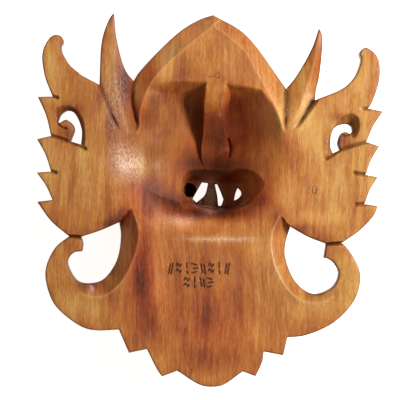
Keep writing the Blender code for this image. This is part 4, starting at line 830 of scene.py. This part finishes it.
def back_depth(spots):
    """How deep the back is carved below the level back."""
    depth = np.zeros(len(spots))
    within = inside(spots, hollow_field())
    scooped = spots[within]
    carved = hollow(scooped)
    carved = np.minimum(carved, rib_depth(scooped))
    carved[inside(scooped, np.array(TONGUE_BACK) * SHARE)] = TONGUE_BACK_DEPTH
    depth[within] = carved
    pit = MASK_DEPTH * np.clip(PIT_STEEPNESS * ellipse(spots, BLIND_HOLE, BLIND_HOLE_REACH), 0, 1)
    crown = np.maximum(bevel(spots, LEFT_CROWN_RIDGE, LEFT_CROWN_BEYOND, CROWN_BEVEL_SLOPE),
                       bevel(spots, RIGHT_CROWN_RIDGE, RIGHT_CROWN_BEYOND, CROWN_BEVEL_SLOPE))
    cuts = [
        depth,
        pit,
        crown,
        bevel(spots, LEFT_CURL_RIDGE, LEFT_CURL_BEYOND, CURL_BEVEL_SLOPE, fade=CURL_FADE),
        bevel(spots, RIGHT_CURL_RIDGE, RIGHT_CURL_BEYOND, CURL_BEVEL_SLOPE, fade=CURL_FADE),
        bevel(spots, LEFT_CRESCENT_RIDGE, LEFT_CRESCENT_BEYOND, CRESCENT_BEVEL_SLOPE),
        bevel(spots, RIGHT_CRESCENT_RIDGE, RIGHT_CRESCENT_BEYOND, CRESCENT_BEVEL_SLOPE),
        horn(spots, LEFT_HORN_ROOT, LEFT_HORN_BEYOND, LEFT_HORN_RIDGE, LEFT_HORN_ROOF),
        horn(spots, RIGHT_HORN_ROOT, RIGHT_HORN_BEYOND, RIGHT_HORN_RIDGE, RIGHT_HORN_ROOF),
    ]
    cuts += [groove(spots, line, NOTCH_CUT_WIDTH, NOTCH_CUT_DEPTH) for line in NOTCH_CUTS]
    cuts += [groove(spots, line, HOOK_CUT_WIDTH, HOOK_CUT_DEPTH) for line in HOOK_CUTS]
    carved = np.max(cuts, axis=0) + shoulder(spots) + back_cuts(spots) + tool_marks(spots, TOOL_HEIGHT)
    return np.minimum(carved, face_depth(spots) - LEAST_WALL)


def face_base(out, y):
    """The thickness that the face's features rise from."""
    base = np.interp(out, THICKNESS_X, (PLATE_THICKNESS, CURL_THICKNESS, WING_TIP_THICKNESS))
    crown = ramp(y, *CROWN_Y) * (1 - ramp(out, *CROWN_X))
    base = base + (CROWN_THICKNESS - PLATE_THICKNESS) * crown
    off_centre = (out / HEAD_REACH[0]) ** 2 + ((y - HEAD_CENTRE_Y) / HEAD_REACH[1]) ** 2
    head = PLATE_THICKNESS + (HEAD_THICKNESS - PLATE_THICKNESS) * np.sqrt(np.clip(1 - off_centre, 0, 1))
    return np.maximum(base, head)


def boss(spots, centre, reach):
    """A round rise, 1 at its centre and 0 past its reach."""
    offset = (spots / SHARE - centre) / reach
    return np.clip(1 - (offset**2).sum(axis=1), 0, 1)


def band(spots, line, reach):
    """A rounded rise along a line, 1 on it and 0 past its reach."""
    gap = gap_to(spots, smooth(line), reach * SHARE) / (reach * SHARE)
    return np.sqrt(np.clip(1 - gap**2, 0, 1))


def leaf(spots, line, reach):
    """A pointed leaf with a raised midrib along a line."""
    gap, share = nearest(spots, smooth(line))
    turn = np.pi * (LEAF_START + (1 - LEAF_START) * share)
    width = reach * SHARE * np.sqrt(np.clip(np.sin(turn), 0, 1))
    inner = np.clip(1 - gap / np.maximum(width, LEAST_WIDTH), 0, 1)
    return np.where(inner > 0, LEAF_RIM + (1 - LEAF_RIM) * inner, 0.0)


def face_form(spots):
    """How far the face lies below the level back, before its grooves are cut."""
    folded = np.stack([np.abs(spots[:, 0] - FACE_X * SHARE), spots[:, 1]], axis=1)
    out, y = folded.T / SHARE
    depth = face_base(out, y)
    depth += CHEEK_RELIEF * boss(folded, CHEEK, CHEEK_REACH)
    depth += BROW_RELIEF * band(folded, BROW, BROW_REACH)
    depth += DIADEM_RELIEF * band(folded, DIADEM, DIADEM_REACH)
    depth += DIADEM_RELIEF * boss(folded, JEWEL, JEWEL_REACH)
    depth += LEAF_RELIEF * np.max([leaf(folded, line, reach) for line, reach in LEAVES], axis=0)
    lips = np.hypot(out / LIP_RECESS_REACH[0], (y - LIP_RECESS_Y) / LIP_RECESS_REACH[1])
    depth += (MOUTH_RECESS - depth) * ramp(1 - lips, 0, LIP_RECESS_EDGE)
    jaw = np.hypot(out / JAW_REACH[0], (y - JAW_Y) / JAW_REACH[1])
    depth += JAW_RELIEF * np.sqrt(np.clip(1 - jaw**2, 0, 1))
    depth += FANG_RELIEF * band(folded, FANG, FANG_REACH)
    half_width = np.interp(y, BEAK_Y, BEAK_HALF_WIDTH)
    rise = BEAK_RELIEF * np.interp(y, BEAK_Y, BEAK_RISE, left=0, right=0)
    beak = HEAD_THICKNESS - BEAK_CLEARANCE + rise * np.sqrt(np.clip(1 - (out / half_width) ** 2, 0, 1))
    depth = np.where((out < half_width) & (rise > 0), np.maximum(depth, beak), depth)
    depth += NOSTRIL_RELIEF * boss(folded, NOSTRIL, NOSTRIL_REACH)
    tongue_gap = gap_to(spots, smooth(TONGUE), TONGUE_REACH * SHARE) / (TONGUE_REACH * SHARE)
    tongue = MASK_DEPTH - np.interp(y, TONGUE_Y, TONGUE_FALL) - JAW_RELIEF * tongue_gap**4
    depth = np.where(tongue_gap < 1, np.maximum(depth, tongue), depth)
    eye_gap = np.hypot(*(folded - np.array(EYE) * SHARE).T)
    lid = EYELID_RELIEF * np.clip(1 - ((eye_gap - EYE_RADIUS) / EYELID_RELIEF) ** 2, 0, 1)
    past = EYE_RADIUS - (EYE_RADIUS**2 - EYE_FLAT**2) ** 0.5
    ball = MASK_DEPTH + past - EYE_RADIUS + np.sqrt(np.clip(EYE_RADIUS**2 - eye_gap**2, 0, 1))
    depth = np.where(eye_gap < EYE_RADIUS, np.maximum(depth, ball), depth + lid)
    return np.minimum(depth, MASK_DEPTH)


def face_cuts(spots):
    """The fine cuts of the face: feather veins, hair, the brows and the eyes' rings."""
    folded = np.stack([np.abs(spots[:, 0] - FACE_X * SHARE), spots[:, 1]], axis=1)
    cuts = [groove(spots, line, VEIN_WIDTH, VEIN_DEPTH) for line in vein_lines()]
    cuts += [groove(spots, line, HAIR_WIDTH, HAIR_DEPTH) for line in hair_lines()]
    cuts += [groove(folded, line, HAIR_WIDTH, HAIR_DEPTH) for line in BROW_HAIR]
    iris_gap = np.abs(np.hypot(*(folded - np.array(EYE) * SHARE).T) - IRIS_REACH * SHARE)
    cuts.append(IRIS_DEPTH * np.clip(1 - iris_gap / (IRIS_WIDTH / 2), 0, 1))
    return np.max(cuts, axis=0)


def between(first, second, share):
    """A line part of the way between two lines with the same number of points."""
    return [tuple(point) for point in np.array(first) * (1 - share) + np.array(second) * share]


def vein_lines():
    """Two veins in each feather, and the veins that follow the curls."""
    lines = []
    for line in FEATHERS:
        lines += [beside(line, -reach * SHARE) for reach in VEIN_SPREAD]
    return lines + CURL_VEINS


def hair_lines():
    """Hair lines between the beard's locks."""
    lines = []
    for locks in (LOCKS[:3], LOCKS[3:]):
        for first, second in zip(locks, locks[1:]):
            lines += [between(first, second, share) for share in BETWEEN_LOCKS]
    return lines + [between(LOCKS[0], LOCKS[3], share) for share in BETWEEN_SIDES]


def beside(line, distance):
    """A line moved sideways."""
    points = np.array(line)
    along = np.gradient(points, axis=0)
    along /= np.linalg.norm(along, axis=1)[:, None]
    return points + distance / SHARE * np.stack([-along[:, 1], along[:, 0]], axis=1)


def face_depth(spots):
    """How far the face lies below the level back, with the grooves between feathers and locks."""
    cuts = [groove(spots, line, FEATHER_GROOVE_WIDTH, FEATHER_GROOVE_DEPTH) for line in FEATHERS]
    cuts += [groove(spots, line, LOCK_GROOVE_WIDTH, LOCK_GROOVE_DEPTH) for line in LOCKS]
    return face_form(spots) - np.max(cuts, axis=0)


def face_surface(spots):
    """The face with its fine cuts and tool marks, which spare the three flats that it rests on."""
    depth = face_depth(spots)
    fine = face_cuts(spots) + tool_marks(spots, FACE_TOOL_HEIGHT)
    return depth - fine * ramp(MASK_DEPTH - depth, 0, REST_BLEND)


def indexed(points):
    """A search tree of plan points."""
    tree = KDTree(len(points))
    for index, (x, y) in enumerate(points):
        tree.insert((x, y, 0.0), index)
    tree.balance()
    return tree


def looked_up(tree, spots):
    """The index of the tree's point nearest to each spot, and its distance."""
    hits = [tree.find((x, y, 0.0)) for x, y in spots]
    return np.array([hit[1] for hit in hits], int), np.array([hit[2] for hit in hits])


class Edges:
    """The outline and the openings. Wood lies to the left of each."""

    def __init__(self, rings):
        """Keeps each point of the rings with its neighbours, and a tree to look them up."""
        self.here = np.vstack(rings)
        self.following = np.vstack([np.roll(points, -1, axis=0) for points in rings])
        self.last = np.vstack([np.roll(points, 1, axis=0) for points in rings])
        self.tree = indexed(self.here)

    def gap(self, spots):
        """Each spot's distance to the nearest edge: over 0 on the wood, under 0 off it."""
        which = looked_up(self.tree, spots)[0]

        def to_side(start, end):
            """The distance to a side, which side of it a spot is on, the offset and the side's normal."""
            run = end - start
            share = np.clip(((spots - start) * run).sum(axis=1) / (run**2).sum(axis=1), 0, 1)
            offset = spots - start - share[:, None] * run
            normal = np.stack([-run[:, 1], run[:, 0]], axis=1) / np.hypot(*run.T)[:, None]
            return np.hypot(*offset.T), (offset * normal).sum(axis=1), offset, normal

        before, before_side, offset, before_normal = to_side(self.last[which], self.here[which])
        after, after_side, _, after_normal = to_side(self.here[which], self.following[which])
        corner = (offset * (before_normal + after_normal)).sum(axis=1)
        nearer = np.where(before < after, before_side, after_side)
        side = np.where(np.abs(before - after) < SAME_LENGTH, corner, nearer)
        return np.minimum(before, after) * np.where(side >= 0, 1, -1)

    def inset(self, distance):
        """Points this far from the edges, on the wood."""
        ahead = self.following - self.here
        behind = self.here - self.last
        ahead /= np.hypot(*ahead.T)[:, None]
        behind /= np.hypot(*behind.T)[:, None]
        along = ahead + behind
        along /= np.maximum(np.hypot(*along.T), SAME_LENGTH)[:, None]
        mitre = np.clip((along * ahead).sum(axis=1), WIDEST_MITRE, 1)
        convex = behind[:, 0] * ahead[:, 1] - behind[:, 1] * ahead[:, 0] > 0
        reach = np.where(convex, distance / mitre, distance)
        spots = self.here + reach[:, None] * np.stack([-along[:, 1], along[:, 0]], axis=1)
        return spots[self.gap(spots) > LEAST_INSET * distance]


def thinned(spots, others, least):
    """The spots that are at least this far from every one of the others."""
    return spots[looked_up(indexed(others), spots)[1] > least]


def cell_spots(surface, edges, ease):
    """Corners of square cells, halved wherever the surface bends by more than the tolerance."""
    low = edges.here.min(axis=0)
    counts = np.ceil((edges.here.max(axis=0) - low) / COARSEST_CELL).astype(int)
    corners = np.stack(np.meshgrid(*[np.arange(count) for count in counts]), axis=-1).reshape(-1, 2)
    cells = low + corners * COARSEST_CELL
    size = COARSEST_CELL
    probes = np.stack(np.meshgrid(*[np.linspace(0, 1, 3)] * 2), axis=-1).reshape(-1, 2)
    u, v = probes.T.reshape(2, 3, 3)
    found = []
    for halving in range(CELL_HALVINGS + 1):
        cells = cells[edges.gap(cells + size / 2) > -size]
        bent = np.zeros(len(cells), bool)
        if halving < CELL_HALVINGS:
            depth = surface((cells[:, None] + probes * size).reshape(-1, 2)).reshape(-1, 3, 3)
            flat = (depth[:, :1, :1] * (1 - u) * (1 - v) + depth[:, :1, -1:] * u * (1 - v)
                    + depth[:, -1:, :1] * (1 - u) * v + depth[:, -1:, -1:] * u * v)
            bent = np.abs(depth - flat).max(axis=(1, 2)) > SURFACE_TOLERANCE
        level = np.vstack([cells[~bent] + size * np.array(corner) for corner in CELL_CORNERS])
        level = np.unique(np.round(level, PLAN_DECIMALS), axis=0)
        found.append(level[edges.gap(level) > ease + CELL_INSET * size])
        size /= 2
        cells = np.vstack([cells[bent] + size * np.array(corner) for corner in CELL_CORNERS])
    return np.unique(np.round(np.vstack(found), PLAN_DECIMALS), axis=0)


def triangulated(rings, edges, inner):
    """Triangles over the wood between the outline and the openings, counter-clockwise."""
    plan = np.vstack(rings + [inner])
    sides = []
    start = 0
    for points in rings:
        count = len(points)
        sides += [(start + i, start + (i + 1) % count) for i in range(count)]
        start += count
    spots, _, faces, origin, _, _ = delaunay_2d_cdt([Vector(p) for p in plan], sides, [], 0, SAME_PLACE)
    source = np.array([first[0] for first in origin])
    where = np.array([(p.x, p.y) for p in spots])
    triangles = np.array([tuple(face) for face in faces])
    return source[triangles[edges.gap(where[triangles].mean(axis=1)) > 0]]


def eased(gap, radius):
    """How far a rounded edge has fallen, this far in from its wall."""
    return radius - np.sqrt(radius**2 - np.clip(radius - gap, 0, radius) ** 2)


def carved_surface(rings, edges, surface, ease, creases):
    """(inner plan points, triangles) of one carved surface."""
    turns = np.linspace(0, np.pi / 2, EASE_STEPS + 1)[1:]
    crease = np.vstack([smooth(line, CREASE_STEP) for line in creases])
    crease = crease[edges.gap(crease) > CREASE_INSET * ease]
    crease = np.unique(np.round(crease / CREASE_GRID), axis=0) * CREASE_GRID
    rows = np.vstack([edges.inset(ease * (1 - np.cos(turn))) for turn in turns])
    rows = thinned(rows, crease, CREASE_GRID)
    cells = cell_spots(surface, edges, ease)
    cells = thinned(cells, np.vstack([rows, crease]), CELL_CLEARANCE * COARSEST_CELL / 2**CELL_HALVINGS)
    inner = np.vstack([crease, rows, cells])
    return inner, triangulated(rings, edges, inner)


def sides_of(lines, width):
    """Each line with the two lines where its groove starts."""
    return [moved for line in lines for moved in (line, beside(line, width / 2), beside(line, -width / 2))]


def back_creases():
    """Lines of the back where its surfaces meet."""
    lines = [LEFT_CROWN_RIDGE, RIGHT_CROWN_RIDGE, LEFT_CURL_RIDGE, RIGHT_CURL_RIDGE, LEFT_CRESCENT_RIDGE,
             RIGHT_CRESCENT_RIDGE, LEFT_HORN_ROOT, RIGHT_HORN_ROOT, LEFT_HORN_RIDGE, RIGHT_HORN_RIDGE,
             HOLLOW_TOP, HOLLOW_LIP, HOLLOW_RIGHT, LIP_EDGE, beside(LIP_EDGE, -LIP_EDGE_BESIDE)]
    lines += sides_of(NOTCH_CUTS, NOTCH_CUT_WIDTH) + sides_of(HOOK_CUTS, HOOK_CUT_WIDTH)
    lines += sides_of(SPIRAL_CUTS, SPIRAL_WIDTH) + sides_of(sign_lines(), SIGN_WIDTH)
    lines += sides_of([line for line, _, _ in CHECKS], CHECKS[0][1])
    for corner, following in zip(RIB, RIB[1:]):
        lines.append([corner, following])
    return lines


def face_creases():
    """Lines of the face where its grooves run."""
    lines = sides_of(FEATHERS, FEATHER_GROOVE_WIDTH) + sides_of(LOCKS, LOCK_GROOVE_WIDTH)
    lines += sides_of(vein_lines(), VEIN_WIDTH) + sides_of(hair_lines(), HAIR_WIDTH)
    return lines


def mask_mesh():
    """The carved mask's points and faces, the plan points of its back and of its face, and its edges."""
    rings = mask_rings()
    edges = Edges(rings)
    outline = np.vstack(rings)
    back_inner, back_faces = carved_surface(rings, edges, back_depth, BACK_EASE, back_creases())
    face_inner, face_faces = carved_surface(rings, edges, face_surface, FACE_EASE, face_creases())
    back_plan = np.vstack([outline, back_inner])
    face_plan = np.vstack([outline, face_inner])
    back_gap = np.concatenate([np.zeros(len(outline)), edges.gap(back_inner)])
    face_gap = np.concatenate([np.zeros(len(outline)), edges.gap(face_inner)])
    back = back_depth(back_plan) + eased(back_gap, BACK_EASE)
    face = face_surface(face_plan) - eased(face_gap, FACE_EASE)
    top = MASK_DEPTH - back[: len(outline)]
    bottom = MASK_DEPTH - face[: len(outline)]
    levels = np.linspace(0, 1, WALL_ROWS + 2)[1:-1]
    walls = [np.column_stack([outline, top + share * (bottom - top)]) for share in levels]
    points = np.vstack([np.column_stack([back_plan, MASK_DEPTH - back]),
                        np.column_stack([face_plan, MASK_DEPTH - face]), *walls])
    below = len(back_plan)
    rows = [0] + [below + len(face_plan) + row * len(outline) for row in range(WALL_ROWS)] + [below]
    faces = [back_faces, face_faces[:, ::-1] + below]
    start = 0
    for ring_points in rings:
        here = start + np.arange(len(ring_points))
        following = start + (np.arange(len(ring_points)) + 1) % len(ring_points)
        for upper, lower in zip(rows, rows[1:]):
            faces.append(np.column_stack([here + lower, following + lower, following + upper]))
            faces.append(np.column_stack([here + lower, following + upper, here + upper]))
        start += len(ring_points)
    return points, np.vstack(faces), back_plan, face_plan, edges


def carving_marks(points, back_count, face_count, edges):
    """Each point's painted shade in a cut, at an edge or on a wall, painted highlight on a ridge and tone of
    its place with its painted shade and light, as red, green and blue.
    """
    plan = points[:, :2]
    marks = np.zeros((len(points), 4))
    back = slice(0, back_count)
    face = slice(back_count, back_count + face_count)
    spots = plan[back]
    # painted shade in the cut strokes, cracks, notch, hook and spiral cuts, on the crescents' bevels, in the
    # horns' root grooves and in the blind hole
    signs = [groove(spots, line, SIGN_WIDTH * SIGN_SPREAD, SIGN_DARKNESS) for line in sign_lines()]
    signs = np.max(signs, axis=0).clip(0, 1)
    crevices = [groove(spots, line, width * CHECK_SPREAD, CHECK_DARKNESS) for line, width, _ in CHECKS]
    crevices += [groove(spots, line, NOTCH_CUT_WIDTH, NOTCH_DARKNESS) for line in NOTCH_CUTS]
    crevices += [groove(spots, line, HOOK_CUT_WIDTH, NOTCH_DARKNESS) for line in HOOK_CUTS]
    crevices += [groove(spots, line, SPIRAL_WIDTH, SPIRAL_DARKNESS) for line in SPIRAL_CUTS]
    open_foot = ramp(spots[:, 1] / SHARE, *HORN_FOOT_Y)
    crescents = ((LEFT_CRESCENT_RIDGE, LEFT_CRESCENT_BEYOND), (RIGHT_CRESCENT_RIDGE, RIGHT_CRESCENT_BEYOND))
    for ridge, beyond in crescents:
        crevices.append(np.minimum(bevel(spots, ridge, beyond, CRESCENT_SHADE_RISE), CRESCENT_DARKNESS))
    for line in (LEFT_HORN_ROOT, RIGHT_HORN_ROOT):
        crevices.append(groove(spots, line, HORN_GROOVE_WIDTH * HORN_SPREAD, HORN_DARKNESS) * open_foot)
    pit = np.clip(PIT_STEEPNESS * ellipse(spots, BLIND_HOLE, BLIND_HOLE_REACH), 0, 1)
    marks[back, 0] = np.max([signs, pit, *crevices], axis=0)
    # painted highlights along the ridges and the lip's edge
    worn = [groove(spots, line, RIDGE_HIGHLIGHT_WIDTH, 1.0) for line in RIDGE_HIGHLIGHT_LINES]
    marks[back, 1] = np.max(worn, axis=0)
    # painted shade in the face's grooves and fine cuts
    grooves = []
    for lines, width in ((FEATHERS, FEATHER_GROOVE_WIDTH), (LOCKS, LOCK_GROOVE_WIDTH)):
        width *= FACE_GROOVE_SPREAD
        grooves += [groove(plan[face], line, width, FACE_GROOVE_DARKNESS) for line in lines]
    marks[face, 0] = np.max([face_cuts(plan[face]) / HAIR_DEPTH * FACE_CUT_DARKNESS, *grooves], axis=0)
    # painted shade along the edges and on the walls
    near_edge = 1 - np.clip(edges.gap(plan) / EDGE_SHADE, 0, 1)
    marks[:, 0] = np.maximum(marks[:, 0], EDGE_DARKNESS * near_edge)
    marks[back_count + face_count :, 0] = WALL_DARKNESS
    # blue: the wood's tone with its painted shade and painted light
    marks[:, 2] = 0.5 + np.clip(spread(plan, TONES_AND_PAINTED_LIGHT), -MOST_TONE, MOST_TONE) / (2 * MOST_TONE)
    marks[:, 3] = 1
    return marks


def spread(plan, spots):
    """The sum of soft spots, each with a plan centre, a reach and a strength, at each point's place."""
    total = np.zeros(len(plan))
    for x, y, reach_x, reach_y, strength in spots:
        offset = (plan / SHARE - (x, y)) / (reach_x, reach_y)
        total += strength * np.exp(-(offset**2).sum(axis=1))
    return total


def node(tree, kind, inputs=None, **settings):
    """A new node with its settings, and its inputs set or linked."""
    made = tree.nodes.new(kind)
    for name, value in settings.items():
        setattr(made, name, value)
    for key, value in (inputs or {}).items():
        if isinstance(value, bpy.types.NodeSocket):
            tree.links.new(value, made.inputs[key])
        else:
            made.inputs[key].default_value = value
    return made


def maths(tree, operation, first, second=0.0, third=0.0):
    """The output of a Math node."""
    made = node(tree, "ShaderNodeMath", {0: first, 1: second, 2: third}, operation=operation)
    return made.outputs[0]


def painted(tree, name):
    """The value that the mesh keeps under a name."""
    return node(tree, "ShaderNodeAttribute", attribute_name=name).outputs["Fac"]


def varied(tree, value, share, base):
    """A base with a share of a value that runs from 0 to 1, taken about its middle."""
    return maths(tree, "MULTIPLY_ADD", value, share, maths(tree, "ADD", base, -share / 2))


def rescaled(tree, value, low, high, least, most):
    """A value taken from the span between low and high to the one between least and most."""
    made = node(tree, "ShaderNodeMapRange", {0: value, 1: low, 2: high, 3: least, 4: most})
    return made.outputs[0]


def stretched_noise(tree, place, scale, detail, roughness, distortion=0.0):
    """Noise with a size of its own along each axis."""
    mapping = node(tree, "ShaderNodeMapping", {"Vector": place, "Scale": scale})
    return node(tree, "ShaderNodeTexNoise", {"Vector": mapping.outputs[0], "Scale": 1.0, "Detail": detail,
                                             "Roughness": roughness, "Distortion": distortion}).outputs["Fac"]


def blended(tree, share, first, second, kind="MIX"):
    """The output of a colour Mix node."""
    made = node(tree, "ShaderNodeMix", {0: share, 6: first, 7: second}, data_type="RGBA", blend_type=kind)
    return made.outputs[2]


def stops(tree, value, *pairs):
    """A colour ramp through (place, colour) pairs."""
    made = node(tree, "ShaderNodeValToRGB", {"Fac": value})
    made.color_ramp.elements.remove(made.color_ramp.elements[1])
    made.color_ramp.elements[0].position = pairs[0][0]
    made.color_ramp.elements[0].color = pairs[0][1]
    for place, colour in pairs[1:]:
        made.color_ramp.elements.new(place).color = colour
    return made.outputs["Color"]


def wood_marks(tree):
    """What the mesh keeps for the wood: painted shade in cuts, painted ridge highlights, tone with painted
    shade and light, polish, warmth with a painted shade tint, and painted highlights.
    """
    marks = {name: painted(tree, name) for name in ("polish", "warmth_and_shade_tint", "painted_highlight")}
    carving = node(tree, "ShaderNodeAttribute", attribute_name="carving").outputs["Color"]
    split = node(tree, "ShaderNodeSeparateColor", {0: carving}).outputs
    marks["cut"], marks["worn"], marks["tone"] = split[:3]
    return marks


def wood_noises(tree):
    """The noises of the wood. Those of its grain run along the mask's height and sway a little."""
    place = node(tree, "ShaderNodeTexCoord").outputs["Object"]
    sway = stretched_noise(tree, place, *SWAY)
    sway = maths(tree, "MULTIPLY_ADD", sway, SWAY_REACH, -SWAY_REACH / 2)
    shift = node(tree, "ShaderNodeCombineXYZ", {0: sway}).outputs[0]
    grain = node(tree, "ShaderNodeVectorMath", {0: place, 1: shift}, operation="ADD").outputs[0]
    noises = {name: stretched_noise(tree, grain, *look) for name, look in GRAIN_NOISES.items()}
    noises.update({name: stretched_noise(tree, place, *look) for name, look in PLACE_NOISES.items()})
    pores = maths(tree, "MULTIPLY", maths(tree, "SUBTRACT", noises["pores"], PORE_START), PORE_RISE)
    noises["pores"] = maths(tree, "MAXIMUM", maths(tree, "SMOOTH_MIN", pores, 1.0, PORE_ROUND), 0.0)
    return noises


def wood_shade(tree, noises, marks):
    """How pale the wood is, from 0 to 1, with the painted shade and painted light of the tone spots."""
    shade = 0.0
    for name, share in GRAIN_SHADES.items():
        shade = varied(tree, noises[name], share, shade)
    shade = maths(tree, "MULTIPLY", shade, rescaled(tree, marks["polish"], -1.0, 0.0, DULL_GRAIN, 1.0))
    shade = varied(tree, noises["mottle"], MOTTLE_SHADE, shade)
    return varied(tree, marks["tone"], TONE_SHADE, maths(tree, "ADD", shade, 0.5))


def wood_colour(tree, noises, marks):
    """The wood's colour, with its pores, painted ridge highlights, tints with a painted shade tint, painted
    highlights and painted shade in the cuts.
    """
    colour = stops(tree, wood_shade(tree, noises, marks), *WOOD_STOPS)
    colour = blended(tree, maths(tree, "MULTIPLY", noises["pores"], PORE_DARKNESS), colour, PORE_COLOUR)
    colour = blended(tree, maths(tree, "MULTIPLY", marks["worn"], RIDGE_HIGHLIGHT_STRENGTH), colour, RIDGE_HIGHLIGHT_COLOUR)
    # the wood's hue, with the painted red tint of shade
    tint = stops(tree, maths(tree, "MULTIPLY_ADD", marks["warmth_and_shade_tint"], 0.5, 0.5), *TINT_STOPS)
    colour = blended(tree, 1.0, colour, tint, "MULTIPLY")
    # painted highlights and painted light, speckled
    flecks = rescaled(tree, noises["speckle"], *SPECKLE_STOPS, LEAST_SPECKLE, 1.0)
    colour = blended(tree, maths(tree, "MULTIPLY", marks["painted_highlight"], flecks), colour, PAINTED_HIGHLIGHT_COLOUR)
    return blended(tree, maths(tree, "MULTIPLY", marks["cut"], CUT_SHADE), colour, PAINTED_CUT_SHADE)


def wood_roughness(tree, noises, marks):
    """The wood's roughness: cuts and the places with painted highlights are duller, and polished ones
    smoother.
    """
    roughness = varied(tree, noises["scuffs"], SCUFF_ROUGHNESS, WOOD_ROUGHNESS)
    roughness = varied(tree, noises["streaks"], STREAK_ROUGHNESS, roughness)
    roughness = maths(tree, "MULTIPLY_ADD", marks["cut"], CUT_ROUGHNESS, roughness)
    roughness = maths(tree, "MULTIPLY_ADD", marks["polish"], -POLISH_SMOOTHNESS, roughness)
    return maths(tree, "MULTIPLY_ADD", marks["painted_highlight"], PAINTED_HIGHLIGHT_ROUGHNESS, roughness)


def wood_normal(tree, noises):
    """The fine relief of the grain, its pores and its scuffs."""
    relief = 0.0
    for name, share in RELIEF.items():
        relief = maths(tree, "MULTIPLY_ADD", noises[name], share, relief)
    heights = {"Strength": BUMP_STRENGTH, "Distance": BUMP_HEIGHT, "Height": relief}
    return node(tree, "ShaderNodeBump", heights).outputs[0]


def carved_wood():
    """Oiled brown wood: streaks along the mask's height, painted shade in the cuts, painted highlights on the
    ridges and a soft gloss.
    """
    material = bpy.data.materials.new("carved_wood")
    material.use_nodes = True
    tree = material.node_tree
    shader = tree.nodes["Principled BSDF"]
    marks, noises = wood_marks(tree), wood_noises(tree)
    shine = maths(tree, "MULTIPLY_ADD", marks["polish"], POLISH_SHINE, SHINE)
    coat = maths(tree, "MULTIPLY_ADD", marks["polish"], POLISH_COAT, COAT)
    tree.links.new(wood_colour(tree, noises, marks), shader.inputs["Base Color"])
    tree.links.new(wood_roughness(tree, noises, marks), shader.inputs["Roughness"])
    tree.links.new(wood_normal(tree, noises), shader.inputs["Normal"])
    tree.links.new(maths(tree, "MAXIMUM", shine, LEAST_SHINE), shader.inputs["Specular IOR Level"])
    tree.links.new(maths(tree, "MAXIMUM", coat, 0.0), shader.inputs["Coat Weight"])
    shader.inputs["Coat Roughness"].default_value = COAT_ROUGHNESS
    return material


def carved_mask():
    """The finely carved piece that stands for the mask's solid."""
    points, faces, back_plan, face_plan, edges = mask_mesh()
    mesh = bpy.data.meshes.new("carved_mask")
    mesh.from_pydata(points.tolist(), [], faces.tolist())
    mesh.shade_smooth()
    mesh.set_sharp_from_angle(angle=SMOOTH_ANGLE)
    marks = mesh.attributes.new("carving", "FLOAT_COLOR", "POINT")
    colours = carving_marks(points, len(back_plan), len(face_plan), edges)
    marks.data.foreach_set("color", colours.ravel())
    for name, spots in (("polish", GLOSS), ("warmth_and_shade_tint", WARMTHS_AND_SHADE_TINTS), ("painted_highlight", PAINTED_HIGHLIGHTS)):
        mesh.attributes.new(name, "FLOAT", "POINT").data.foreach_set("value", spread(points[:, :2], spots))
    mesh.materials.append(carved_wood())
    piece = bpy.data.objects.new("carved_mask", mesh)
    bpy.context.collection.objects.link(piece)
    return piece


def floor():
    """The pale plain floor."""
    material = bpy.data.materials.new("pale_floor")
    material.use_nodes = True
    shader = material.node_tree.nodes["Principled BSDF"]
    shader.inputs["Base Color"].default_value = FLOOR_COLOUR
    shader.inputs["Roughness"].default_value = FLOOR_ROUGHNESS
    shader.inputs["Emission Color"].default_value = FLOOR_GLOW_COLOUR
    shader.inputs["Emission Strength"].default_value = FLOOR_GLOW
    mesh = bpy.data.meshes.new("floor")
    half = FLOOR_SIZE / 2
    corners = [(-half, -half, 0), (half, -half, 0), (half, half, 0), (-half, half, 0)]
    mesh.from_pydata(corners, [], [(0, 1, 2, 3)])
    mesh.materials.append(material)
    piece = bpy.data.objects.new("floor", mesh)
    bpy.context.collection.objects.link(piece)
    return piece


def soft_light(name, place, size, power, colour):
    """A square soft light that shines at the middle of the mask."""
    data = bpy.data.lights.new(name, "AREA")
    data.shape = "SQUARE"
    data.size = size
    data.energy = power
    data.color = colour
    lamp = bpy.data.objects.new(name, data)
    lamp.location = place
    lamp.rotation_euler = (Vector(LIGHT_TARGET) - Vector(place)).to_track_quat("-Z", "Y").to_euler()
    bpy.context.collection.objects.link(lamp)


def lighting():
    """A key from the right, a weak light from above the crown and an even surround."""
    for light in LIGHTS:
        soft_light(*light)
    world = bpy.context.scene.world or bpy.data.worlds.new("surround")
    bpy.context.scene.world = world
    world.use_nodes = True
    background = world.node_tree.nodes["Background"]
    background.inputs["Color"].default_value = SURROUND_COLOUR
    background.inputs["Strength"].default_value = SURROUND_STRENGTH


def camera():
    """Straight down on the back, as in the photograph."""
    data = bpy.data.cameras.new("camera")
    data.lens = CAMERA_LENS
    data.sensor_width = CAMERA_SENSOR
    data.clip_end = CAMERA_REACH
    eye = bpy.data.objects.new("camera", data)
    eye.location = CAMERA_PLACE
    bpy.context.collection.objects.link(eye)
    bpy.context.scene.camera = eye


def main():
    """Builds the piece on the loaded frame, with its stage, light and camera."""
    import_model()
    bpy.context.scene.view_settings.view_transform = "Standard"
    piece = carved_mask()
    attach(piece, "root")
    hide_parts("mask")
    floor()
    lighting()
    camera()


main()
